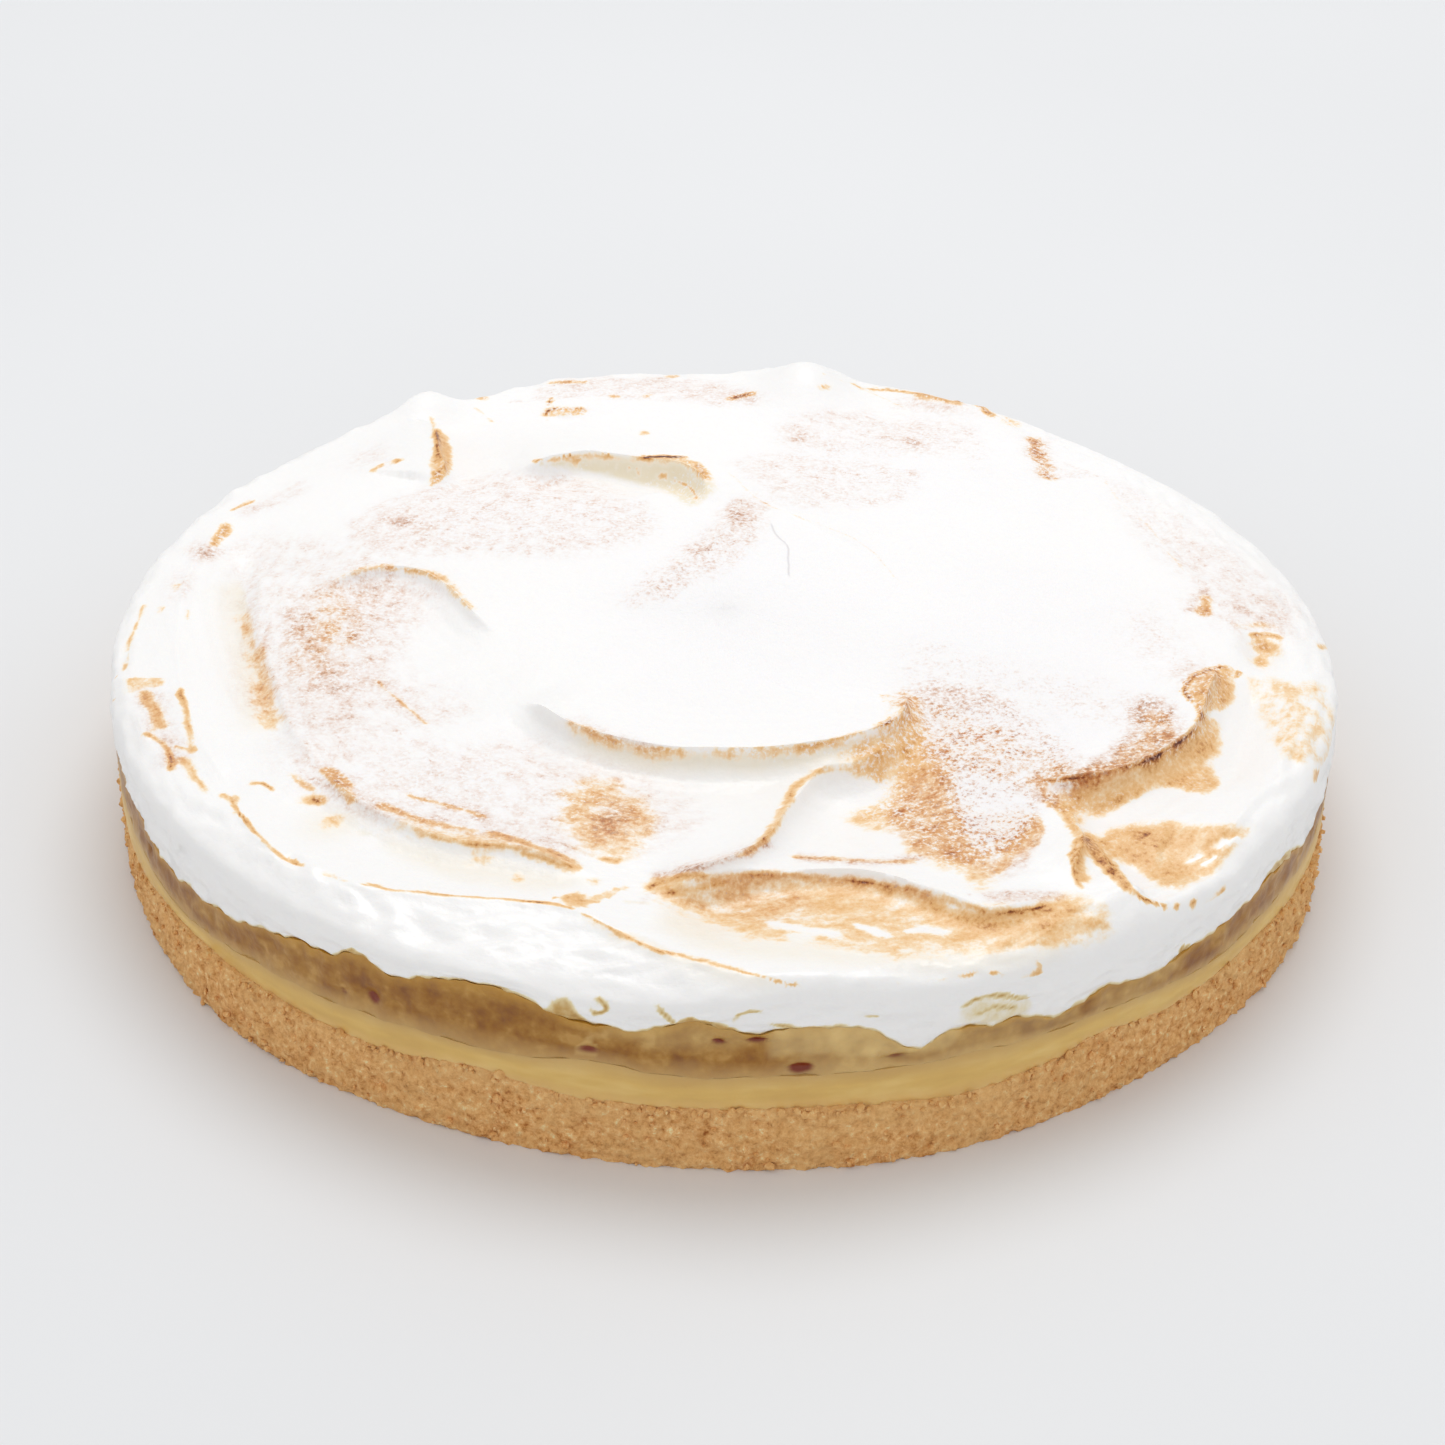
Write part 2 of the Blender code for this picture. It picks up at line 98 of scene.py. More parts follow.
CRUST_BULGES = [
    Wave(-137, 14, 2.0 * MM),
    Wave(-74, 14, 1.6 * MM),
    Wave(-28, 12, 1.2 * MM),
    Wave(22, 15, 1.7 * MM),
    Wave(75, 12, 1.4 * MM),
    Wave(118, 14, 1.8 * MM),
    Wave(163, 11, 1.6 * MM),
]
CRUST_TOP_WAVES = [
    Wave(-172, 7, 1.6 * MM),
    Wave(-157, 6, -2.2 * MM),
    Wave(-110, 6, 2.6 * MM),
    Wave(-70, 7, -2.0 * MM),
    Wave(-56, 4, 2.2 * MM),
    Wave(-36, 6, 1.2 * MM),
    Wave(-16, 10, -1.4 * MM),
    Wave(10, 9, -1.2 * MM),
    Wave(64, 8, 1.3 * MM),
    Wave(130, 9, -1.4 * MM),
]
CUSTARD_TOP_WAVES = [
    Wave(-146, 12, -4.6 * MM),
    Wave(-127, 5, -1.0 * MM),
    Wave(-100, 4, 1.8 * MM),
    Wave(-42, 9, -2.6 * MM),
    Wave(-20, 11, -2.6 * MM),
    Wave(12, 10, 1.0 * MM),
    Wave(80, 14, -1.4 * MM),
    Wave(150, 12, 1.2 * MM),
]
COMPOTE_TOP_WAVES = [
    Wave(-148, 9, -5.8 * MM),
    Wave(-137.5, 6.5, -3.4 * MM),
    Wave(-121, 2, 3.2 * MM),
    Wave(-113, 4, 3.4 * MM),
    Wave(-107, 4, 4.6 * MM),
    Wave(-92, 3, 3.2 * MM),
    Wave(-82, 4, 1.6 * MM),
    Wave(-74.3, 2.6, -5.0 * MM),
    Wave(-68, 4.5, -3.0 * MM),
    Wave(-61.5, 2.5, -2.8 * MM),
    Wave(-49, 15, -5.8 * MM),
    Wave(-22, 9, -5.4 * MM),
    Wave(18, 9, 1.8 * MM),
    Wave(55, 6, -2.4 * MM),
    Wave(96, 10, 2.2 * MM),
    Wave(140, 7, -2.0 * MM),
    Wave(172, 9, 1.8 * MM),
]
SHOULDER_WIDTH = 6.0 * MM
SHOULDER_WIDTHS = [
    Wave(-105, 11, 14.0 * MM),
    Wave(-134, 14, 6.0 * MM),
    Wave(-83, 7, -2.5 * MM),
    Wave(-45, 20, 4.0 * MM),
    Wave(36, 24, 15.0 * MM),
    Wave(170, 30, -2.0 * MM),
]
LEAST_WALL = 2.0 * MM
WALL_TOP = 36.5 * MM
WALL_TOPS = [
    Wave(-105, 12, -1.5 * MM),
    Wave(-84, 8, 2.0 * MM),
    Wave(-50, 14, -1.8 * MM),
    Wave(40, 22, -2.0 * MM),
    Wave(95, 9, -2.0 * MM),
    Wave(175, 35, 1.5 * MM),
]

# A line that the spatula left: the points its smooth curve runs through, and its height. Walking
# along it, left and right are how far its flank reaches on each side, and the two gutters are how
# deep the hollow past each flank is, where it has one. Plain numbers here are millimetres.
Ridge = namedtuple("Ridge", "points height left right left_gutter right_gutter", defaults=(0, 0))
# A round or oval swelling, or a hollow where its height is negative.
Mound = namedtuple("Mound", "x y radius_x radius_y height")

RIDGES = {
    "dome_front_fold": Ridge(
        [(-42, -36), (-29.5, -50), (-15, -56), (0, -57.5), (15, -57), (27.5, -52.5), (34.5, -45.5),
         (37, -31)],
        height=3.8, left=20, right=3.2, right_gutter=1.8,
    ),
    "front_thin_crest": Ridge(
        [(38, -49.5), (27, -58), (18, -62), (12, -75.5), (8, -87), (0, -94.5), (-14, -98)],
        height=2.3, left=3.0, right=5, left_gutter=2.2, right_gutter=0.4,
    ),
    "front_shelf": Ridge(
        [(-14, -100), (-4, -98), (8, -94.5), (27, -94.5), (42, -101.5), (50.5, -106), (63, -101)],
        height=2.0, left=6, right=2.2, right_gutter=1.1,
    ),
    "front_crisp_edge": Ridge(
        [(-95, -69), (-88, -85), (-74, -98), (-50, -103.5), (-27, -107.5), (-10, -120), (12, -127),
         (40.5, -122)],
        height=0.9, left=7, right=2.6, right_gutter=0.3,
    ),
    "star_west_edge": Ridge(
        [(59, -67), (65.5, -73), (67.5, -84.5), (65.5, -93.5), (68, -99)],
        height=2.6, left=2.4, right=9, left_gutter=0.8, right_gutter=0.5,
    ),
    "star_bowl_edge": Ridge(
        [(70.5, -76.5), (73, -92), (80, -98.5), (91.5, -91.5), (102.5, -83.5)],
        height=2.2, left=2.6, right=7, left_gutter=1.9,
    ),
    "right_curled_lip": Ridge(
        [(60, -63), (74.5, -63), (87, -53), (94, -43.5), (97.5, -33), (103, -16.5)],
        height=3.7, left=14, right=3.2, right_gutter=2.1,
    ),
    "right_trough": Ridge(
        [(107, -10.5), (109.5, -22.5), (107, -38), (98, -63)],
        height=-1.6, left=6, right=6,
    ),
    "right_rim_swell": Ridge(
        [(119, -19.5), (116, -42.5), (107, -65)],
        height=1.0, left=6, right=5,
    ),
    "left_groove": Ridge(
        [(-105, 31.5), (-107, 12.5), (-102, -11), (-92.5, -37), (-86, -57)],
        height=-2.5, left=6, right=6,
    ),
    "left_rim_swell": Ridge(
        [(-113, 48), (-117.5, 12.5), (-114.5, -19.5), (-105.5, -49.5), (-96, -67)],
        height=1.3, left=5, right=6,
    ),
    "left_inner_crest": Ridge(
        [(-101.5, 23.5), (-99, -4), (-93, -23.5), (-86, -47.5), (-78, -62.5)],
        height=1.2, left=7, right=3.4,
    ),
    "left_arc": Ridge(
        [(-90, 7.5), (-79.5, 14.5), (-68.5, 16.5), (-59.5, 8.5), (-52.5, -4.5), (-46, -12.5)],
        height=2.3, left=9, right=3.6, right_gutter=2.0,
    ),
    "back_overhang": Ridge(
        [(-52, 66), (-40, 69), (-32, 71.5), (-20, 70), (-10, 68), (-4.5, 58.5), (-6, 50)],
        height=3.0, left=10, right=2.4, right_gutter=3.0,
    ),
    "pocket_near_edge": Ridge(
        [(-42, 67), (-30, 65), (-20, 62), (-13, 58), (-9, 53), (-7, 47)],
        height=0.9, left=1.4, right=6,
    ),
    "middle_seam": Ridge(
        [(0, 62), (12, 50), (35, 25)],
        height=-0.7, left=3, right=3,
    ),
    "middle_swell": Ridge(
        [(4, 49.5), (-1, 31), (-10, 14.5), (-22, -2.5)],
        height=1.4, left=8, right=7,
    ),
    "back_left_face": Ridge(
        [(-77.5, 93), (-71, 83), (-68.5, 72), (-66.5, 61.5), (-71, 56.5)],
        height=3.2, left=2.8, right=9, left_gutter=1.5,
    ),
    "back_notch": Ridge(
        [(-47, 96.5), (-41, 99.5), (-31, 99.5)],
        height=1.4, left=5, right=2.4, right_gutter=1.2,
    ),
    "back_right_lip": Ridge(
        [(38, 115), (49.5, 107.5), (61.5, 99.5), (73, 88)],
        height=2.0, left=2.8, right=5, right_gutter=0.5,
    ),
    "right_back_crease": Ridge(
        [(87, 69), (96.5, 48.5), (109, 17)],
        height=-0.9, left=3, right=3,
    ),
    "front_left_band": Ridge(
        [(-80, -60.5), (-69.5, -74), (-52, -85.5), (-38, -89), (-22, -96.5)],
        height=1.8, left=8, right=3, right_gutter=1.3,
    ),
}

MOUNDS = {
    "dome": Mound(4, -12, 46, 38, 1.8),
    "sugared_mass": Mound(66, -28, 30, 34, 1.2),
    "back_hump": Mound(19, 113, 10.5, 12, 7.8),
    "back_left_peak": Mound(-73, 100, 8, 9, 4.6),
    "back_pocket": Mound(-20, 63, 15, 8, -1.6),
    "front_hollow": Mound(24, -73, 11, 11, -1.4),
    "bowl": Mound(87, -84, 12, 9, -1.4),
    "crater_rim": Mound(114, -8, 8, 11, 1.8),
    "crater": Mound(114, -8, 4.5, 7.5, -4.6),
    "back_notch_hollow": Mound(-39, 99, 7, 3.5, -1.4),
    "back_left_pillow": Mound(-40, 45, 30, 18, 1.0),
    "right_back_pillow": Mound(60, 62, 34, 26, 1.1),
}

# A ridge fades out towards its ends over this length, and its curve is cut into steps this long.
END_FADE = 12.0 * MM
CURVE_STEP = 2.0 * MM
# A gutter reaches this many times as far as its flank, and the power gives the flank its shape.
GUTTER_REACH = 3.0
FLANK_POWER = 1.4
# A ridge moves the surface out to this many of its reaches: further where it has a gutter.
FLANK_TAIL = 5.0
GUTTER_TAIL = 12.0
# The whole top swells and sinks a little, in two sets of waves, the second one askew.
SWELL_HEIGHT = 0.35 * MM
SWELL_LENGTH = 46.0 * MM
SWELL_SKEW = 0.4

# The fine relief that the solids leave out: how high each kind of unevenness is and how long.
TOP_UNEVENNESS = ((0.22 * MM, 12.0 * MM), (0.10 * MM, 5.0 * MM), (0.04 * MM, 2.0 * MM))
CRUST_SEAM_UNEVENNESS = ((0.5 * MM, 3.0 * MM), (0.35 * MM, 1.2 * MM))
CUSTARD_SEAM_UNEVENNESS = ((0.5 * MM, 7.0 * MM), (0.15 * MM, 2.0 * MM))
COMPOTE_SEAM_UNEVENNESS = ((1.1 * MM, 5.0 * MM), (0.5 * MM, 1.8 * MM))
CUSTARD_RUNS = (0.22 * MM, 3.0 * MM)
CUSTARD_GRAIN = (0.08 * MM, 1.1 * MM)
COMPOTE_LUMPS = ((0.42 * MM, 4.0 * MM), (0.16 * MM, 1.5 * MM))
# A crest leans over its steep side by this share of its height, most of all right at the crest.
CREST_LEAN = 0.34
LEAN_STEEP = 1.25 * MM
LEAN_GENTLE = 4.0 * MM
# A crest also ends in a sharper line than the solid's, by this share of its height.
CREST_SHARPNESS = 0.14
CREST_SHARP_WIDTH = 0.8 * MM
# Faint grooves beside the long strokes, from the spatula's edge.
COMBED_RIDGES = (
    "dome_front_fold", "front_left_band", "right_curled_lip", "left_groove", "middle_swell", "left_arc",
)
COMB_HEIGHT = 0.11 * MM
COMB_LENGTH = 3.6 * MM
COMB_REACH = 13.0 * MM
# The steps that the spatula's side smeared round the wall and the shoulder.
WALL_SMEARS = 0.8 * MM
WALL_STEP_SIZE = 7.0 * MM
WALL_SWELL_SIZE = 13.0 * MM
WALL_LUMPS = (0.12 * MM, 2.2 * MM)
SHOULDER_SMEARS = 1.0 * MM
SHOULDER_STEP_SIZE = 3.4 * MM
# Points are stretched like this before unevenness is worked out, so that its lumps come out flat.
WALL_STRETCH = (1.0, 1.0, 4.0)
CUSTARD_STRETCH = (0.4, 0.4, 1.0)
# The rim stands in and out by these amounts, in lumps of these sizes, and the top with it.
RIM_WOBBLE = ((0.7 * MM, 13.0 * MM), (0.4 * MM, 4.0 * MM))
RIM_WOBBLE_REACH = 4.0 * MM
# The wall stands out past the compote by this much, and its lower lip curls back in.
WALL_OVERHANG = 0.3 * MM
LIP_CURL = 0.35 * MM
LIP_CURL_HEIGHT = 0.4 * MM

# ---------------------------------------------------------------------------------------------
# The camera, worked out from the photograph: where it stands and how it is turned.
# ---------------------------------------------------------------------------------------------
CAMERA_PLACE = Vector((-0.00018, -0.55957, 0.36600))
CAMERA_PITCH = math.radians(32.0)
CAMERA_ROLL = math.radians(0.94)
CAMERA_LENS = 75.22
SENSOR_WIDTH = 36.0

# The strokes below are drawn on a plain low dome, seen from the camera, in millimetres.
CANVAS_RIM = 41.0 * MM
CANVAS_RISE = 3.0 * MM
CANVAS_RADIUS = 130.0 * MM
# A point's place on it is found in this many rounds. The way back to the real surface takes more
# of them, and only this share of each step, or it overshoots.
CANVAS_ROUNDS = 3
SURFACE_ROUNDS = 8
CAREFUL_SHARE = 0.6

# A stroke of the torch: its line, how far it spreads to the left and the right, and its strength.
Stroke = namedtuple("Stroke", "points left right strength")
# A round or oval touch.
Spot = namedtuple("Spot", "x y radius_x radius_y strength")
# A patch: its outline, over what width it fades there, and its strength.
Patch = namedtuple("Patch", "outline fade strength")


def line(points, width, strength):
    """A stroke that spreads alike to both sides."""
    return Stroke(points, width, width, strength)


# Thin, crisp marks.
TOAST_LINES = [
    # The crisp edge along the front left rim, thin as a pencil line, and its last hook.
    line([(-96, -70), (-93, -76), (-90, -81), (-86, -87), (-82, -91), (-78, -94)], 0.45, 0.82),
    line([(-78, -94), (-73, -97), (-68, -98.5)], 0.4, 0.38),
    line([(-68, -98.5), (-60, -101), (-45, -103), (-30, -105), (-26, -107)], 0.38, 0.76),
    line([(-26, -107), (-20, -112), (-12, -118), (-5, -120.5), (5, -124.5), (15, -128)], 0.42, 0.84),
    line([(30, -127), (40, -125.5), (48, -122.5), (52, -123.5)], 0.4, 0.74),
    line([(57, -118), (58, -121), (56, -124), (53, -125)], 0.7, 0.72),
    # The dome's front fold, darker towards its right end, and the crest that drops from it.
    line([(-30, -45), (-20, -52), (-12, -54), (0, -53.5)], 1.0, 0.54),
    line([(0, -53.5), (8, -53), (15, -52), (20, -50.5), (25, -48), (30, -45), (36, -39)], 0.8, 0.88),
    line([(28, -58), (20, -60), (15, -65), (12, -73), (10, -80), (7, -86), (2, -90)], 1.0, 0.68),
    # The shelf's edge and its curled left end.
    line([(-14, -101), (-12, -98), (-5, -96), (0, -97)], 1.1, 0.88),
    line([(-12, -102), (-4, -99.5), (3, -98)], 1.1, 0.80),
    line([(0, -97), (10, -95), (20, -96), (30, -97.5), (40, -100)], 0.8, 0.78),
    line([(40, -100), (45, -103), (50, -105), (58, -103.5), (62, -101.5)], 0.6, 1.02),
    line([(12, -89), (22, -90), (30, -90), (38, -89.5)], 0.9, 0.46),
    line([(66, -107), (72, -107.5)], 1.2, 0.62),
    # The star on the right: its two edges.
    line([(62, -68), (66, -72), (68, -78), (69, -80)], 0.9, 0.80),
    line([(69, -80), (67, -85), (66.5, -90), (67, -95), (68, -97)], 0.7, 0.95),
    line([(71, -84), (73, -90), (76, -96), (80, -100), (84, -101.3), (90, -99), (95, -95)], 0.5, 0.98),
    # The curled lip on the right, with its burnt curl.
    line([(62, -62), (70, -60), (78, -57), (85, -53), (90, -48), (94, -43), (97, -37), (98, -30)], 0.9, 1.0),
    line([(97, -31), (95.5, -27), (97, -22), (100, -18), (104, -16), (106, -17)], 0.8, 1.12),
    line([(108, -17), (107, -20)], 0.7, 0.90),
    line([(111, -2.5), (114, -1.5), (117, -1.5), (118.5, -4)], 1.0, 1.08),
    line([(118.5, -53.5), (117.5, -58.5)], 0.9, 1.0),
    # The left rim.
    line([(-112.5, 42), (-113.5, 36), (-114, 29)], 1.3, 0.86),
    line([(-113, 47), (-108, 53)], 0.6, 0.70),
    line([(-119, 14), (-119.3, 9)], 0.8, 0.50),
    line([(-121, 4), (-121.3, -1)], 0.7, 0.45),
    line([(-115, 2), (-115, -3)], 0.7, 0.42),
    line([(-125, 5), (-125.5, -10), (-124.5, -24)], 0.6, 0.52),
    line([(-124, -26.5), (-115, -27)], 0.5, 0.52),
    line([(-112, -30), (-109.5, -38), (-107.5, -46), (-105, -55)], 0.7, 0.76),
    line([(-117, -47), (-113, -50), (-110, -55), (-108.5, -62)], 0.8, 0.78),
    line([(-110, -52), (-104, -55)], 0.5, 0.66),
    line([(-106, -58), (-103, -64), (-100, -70)], 0.8, 0.60),
    line([(-98, -69), (-94, -72)], 0.8, 0.70),
    line([(-93, -66.5), (-90, -66), (-87, -69)], 0.7, 0.96),
    line([(-72, -28), (-62, -42), (-59, -46)], 0.5, 0.50),
    line([(-78, -60), (-72, -68)], 0.7, 0.62),
    line([(-62, -70), (-50, -75), (-45, -78)], 0.7, 0.62),
    line([(-28, -101.5), (-25.5, -103.5), (-26, -106)], 1.0, 0.62),
    # The back left peak's face and the bit beside it.
    line([(-72, 97), (-70, 90)], 0.7, 0.50),
    line([(-70, 90), (-69, 84), (-68.5, 78), (-67.5, 72)], 0.9, 1.06),
    line([(-67.5, 72), (-66.5, 66), (-66.3, 63), (-69, 58)], 0.8, 0.62),
    line([(-80, 71.5), (-81.5, 69.5), (-83, 66)], 0.8, 0.72),
    line([(-62, 103), (-56, 93)], 0.6, 0.32),
    # The pocket's edge and the back rim.
    line([(-46, 71.5), (-40, 73.5), (-36, 75.5), (-31, 76.5), (-27, 75), (-22, 74), (-15, 75), (-9, 74.5)],
         0.8, 1.16),
    line([(-38, 73), (-30, 70.5), (-22, 68.5), (-15, 66)], 0.8, 0.64),
    line([(-22, 66.5), (-14, 63.5), (-9.5, 60), (-7.5, 56), (-7, 52)], 0.45, 0.66),
    line([(-44, 96), (-43.5, 101), (-40, 102.3), (-36, 102), (-34, 99.5)], 0.9, 0.96),
    line([(-43, 109), (-44, 103)], 0.6, 0.86),
    line([(-1, 107.5), (3, 110), (7, 113)], 1.2, 0.90),
    line([(33, 116.5), (45, 115), (50, 112.5), (55, 111)], 0.8, 0.76),
    line([(55, 111), (60, 110), (63, 105), (65, 101)], 1.0, 1.02),
    line([(30, 120), (34, 115)], 0.6, 0.60),
    line([(22, 127), (34, 115), (45, 103)], 0.5, 0.26),
    line([(0, 67), (8, 52), (16, 45), (30, 33), (38, 15)], 0.4, 0.30),
    line([(88, 70), (90, 60), (96, 45), (100, 30), (102, 22)], 0.5, 0.26),
]

# Broad, soft marks with uneven edges.
TOAST_AREAS = [
    # Round the dome's right end, and the mass between it and the shelf.
    Patch([(34, -65), (24, -59), (28, -49), (33, -41), (36, -31), (39, -33), (41, -42), (45, -52), (44, -64)],
          7.0, 0.64),
    Patch([(31, -62), (42, -60), (50, -72), (60, -72), (64, -76), (60, -85), (54, -89), (50, -98), (46, -96),
           (42, -90), (35, -87), (32, -80), (25, -79), (25, -75), (31, -70)], 7.0, 0.50),
    Spot(46, -89, 6, 6, 0.56),
    line([(62, -76), (57, -83), (53, -89), (51, -94)], 1.3, 0.66),
    Patch([(40, -34), (55, -40), (66, -52), (72, -60), (62, -66), (50, -62), (42, -50)], 8.0, 0.32),
    Patch([(68, -60), (76, -54), (82, -44), (85, -34), (90, -34), (92, -44), (85, -54), (76, -62)],
          5.0, 0.38),
    # The shelf's patch, most orange at its right end.
    Patch([(-16, -99), (-4, -95), (10, -93.5), (27, -96), (36, -98.5), (45, -102.5), (56, -102), (66, -99),
           (72, -106), (64, -114), (48, -117), (32, -119), (20, -116), (4, -114), (-10, -106)], 9.0, 0.50),
    Patch([(34, -99), (45, -104), (56, -103), (65, -101), (68, -106), (60, -111), (44, -110)], 5.0, 0.70),
    Stroke([(-8, -96.5), (5, -95), (20, -96), (34, -99), (44, -103.5)], 0.5, 4.0, 0.54),
    line([(66, -107.5), (73, -107.5)], 1.1, 0.66),
    Spot(32, -117.5, 1.6, 2.4, 0.58),
    Spot(40, -115, 8, 3, 0.42),
    # The curled lip.
    Patch([(97, -36), (100, -38), (100, -48), (97, -53), (98, -60), (94, -64), (87, -62.5), (80, -67),
           (73, -74), (68, -71), (70, -62), (78, -56), (87, -50.5), (93, -44)], 3.0, 0.68),
    Stroke([(70, -62), (79, -56), (87, -51), (93, -44), (97.5, -37)], 0.4, 3.6, 0.86),
    Patch([(96, -30), (97.5, -23), (101, -18), (105, -16), (106.5, -20), (105, -29), (102, -34), (99, -34)],
          2.5, 0.68),
    # The star and its bowl.
    Patch([(71, -81), (77, -77), (84, -74.5), (92, -74.5), (101, -73.5), (103, -75.5), (99, -80), (95, -86),
           (90, -93), (84, -96), (79, -92), (74, -86)], 5.0, 0.60),
    Patch([(71, -81), (77, -77), (84, -75), (90, -76), (88, -82), (82, -88), (78, -90), (74, -86)],
          5.0, 0.70),
    Patch([(69, -81), (71.5, -82), (74, -88), (77, -96), (79, -99.5), (75, -97), (72, -91), (70, -86)],
          1.2, 0.88),
    Stroke([(69, -82), (67.5, -88), (68.5, -96)], 1.6, 0.8, 0.82),
    Spot(67, -71, 3, 7, 0.74),
    Spot(70, -81, 2.2, 2.2, 1.08),
    Spot(83, -82.5, 1.2, 1.0, 1.0),
    # The crater and the right rim.
    Spot(115, -7, 2.6, 4.0, 1.02),
    Spot(113, -13.5, 2.0, 2.6, 0.74),
    Patch([(109, -20), (124, -20), (126, -30), (123, -50), (112, -50), (109, -35)], 7.0, 0.32),
    Spot(116, -24, 6, 2.4, 0.42),
    line([(104.5, 15), (104, 10), (103, 5)], 1.5, 0.80),
    Spot(114, 2, 4, 2, 0.44),
    Spot(127, -5, 1.2, 1.4, 0.62),
    # The left: the strip by the groove, the arc and the rim's blotches.
    line([(-105, 1), (-101, -9), (-98, -18)], 2.2, 0.40),
    line([(-99, -14), (-95, -28), (-92.5, -38), (-91.5, -48)], 3.0, 0.50),
    Spot(-84, -8, 9, 24, 0.30),
    line([(-85, 14), (-78, 19), (-68, 18), (-62, 13), (-57, 7), (-53, 0)], 1.5, 0.46),
    line([(-71, 19), (-66, 17), (-61, 12)], 1.3, 0.66),
    Patch([(-124, -26), (-115, -27), (-115, -30), (-119, -30), (-122, -33)], 2.0, 0.46),
    line([(-119, -30), (-117, -36), (-115, -40), (-112.5, -47)], 1.5, 0.76),
    line([(-107, -57), (-104, -60), (-102, -66)], 1.2, 0.62),
    Spot(-95, -71, 1.4, 1.6, 0.72),
    Spot(-79.5, -72, 2.5, 2.0, 1.02),
    Spot(-74, -79.5, 2.8, 2.8, 0.54),
    # The band on the front left, drawn in several streaks.
    line([(-64, -79), (-57, -83), (-48, -86), (-40, -87), (-33, -90), (-26, -94)], 3.0, 0.46),
    line([(-57, -84), (-48, -87), (-40, -88), (-34, -91), (-26, -95)], 0.9, 0.84),
    line([(-67, -73), (-60, -78), (-53, -81), (-45, -83)], 1.0, 0.62),
    line([(-79, -61), (-74, -67), (-71, -73)], 1.1, 0.68),
    line([(-86, -61), (-82, -66), (-79, -69)], 1.0, 0.52),
    line([(-45, -83), (-38, -85), (-33, -88), (-28, -91)], 0.9, 0.84),
    Spot(-45, -92.5, 4, 2.0, 0.44),
    Spot(-38, -97, 1.8, 1.6, 0.46),
    Patch([(-30, -102), (-25.5, -101.5), (-25, -105.5), (-28, -105)], 1.4, 0.66),
    Spot(-24, -98.5, 1.8, 1.6, 0.42),
    Patch([(-31, -68), (-23, -64), (-14, -74), (-13, -84), (-19, -92), (-26, -88), (-32, -78)], 8.0, 0.46),
    line([(-23, -91), (-18, -92.5)], 0.9, 0.84),
    Stroke([(-26, -107), (-20, -112), (-12, -118), (-5, -120.5), (5, -124.5)], 0.3, 1.9, 0.34),
    Stroke([(-32, -43), (-22, -51), (-12, -55), (0, -54.5), (15, -53), (26, -48)], 1.0, 3.4, 0.42),
    # The back.
    Patch([(-71, 90), (-69, 90), (-66.5, 82), (-64, 75), (-63.5, 68), (-66, 62), (-68.5, 60), (-69, 68),
           (-70, 80)], 2.0, 0.74),
    Patch([(-43.5, 96.5), (-43.5, 101.5), (-36, 102), (-34.5, 98), (-39, 97.5)], 2.0, 0.60),
    Stroke([(-40, 73.5), (-30, 75), (-20, 73.5), (-9, 73.5), (-5, 66), (-4, 61)], 0.4, 3.0, 0.56),
    line([(-8, 73), (-6, 68), (-4.5, 62)], 1.3, 0.92),
    line([(-79, 72.5), (-77, 70.5)], 1.4, 0.96),
    Stroke([(73, 92), (74, 80), (76, 66)], 2.2, 2.2, 0.52),
    Spot(68, 100, 3, 5, 0.36),
    Spot(-60, 108, 1.4, 1.2, 0.66),
    Spot(-28.5, 109.5, 1.4, 1.2, 0.72),
    Spot(-20, 110, 1.4, 1.2, 0.72),
    Spot(-20, 88, 1.3, 1.3, 0.66),
    line([(-47, 117), (-42, 118), (-34, 118)], 1.2, 0.58),
    Spot(-14, 122, 1.8, 1.2, 0.60),
    Spot(24, 117, 1.6, 1.6, 0.66),
    line([(44, 114.5), (52, 111), (58, 109.5)], 1.6, 0.62),
    line([(-113, 41), (-112.5, 36), (-114, 32)], 1.5, 0.90),
]

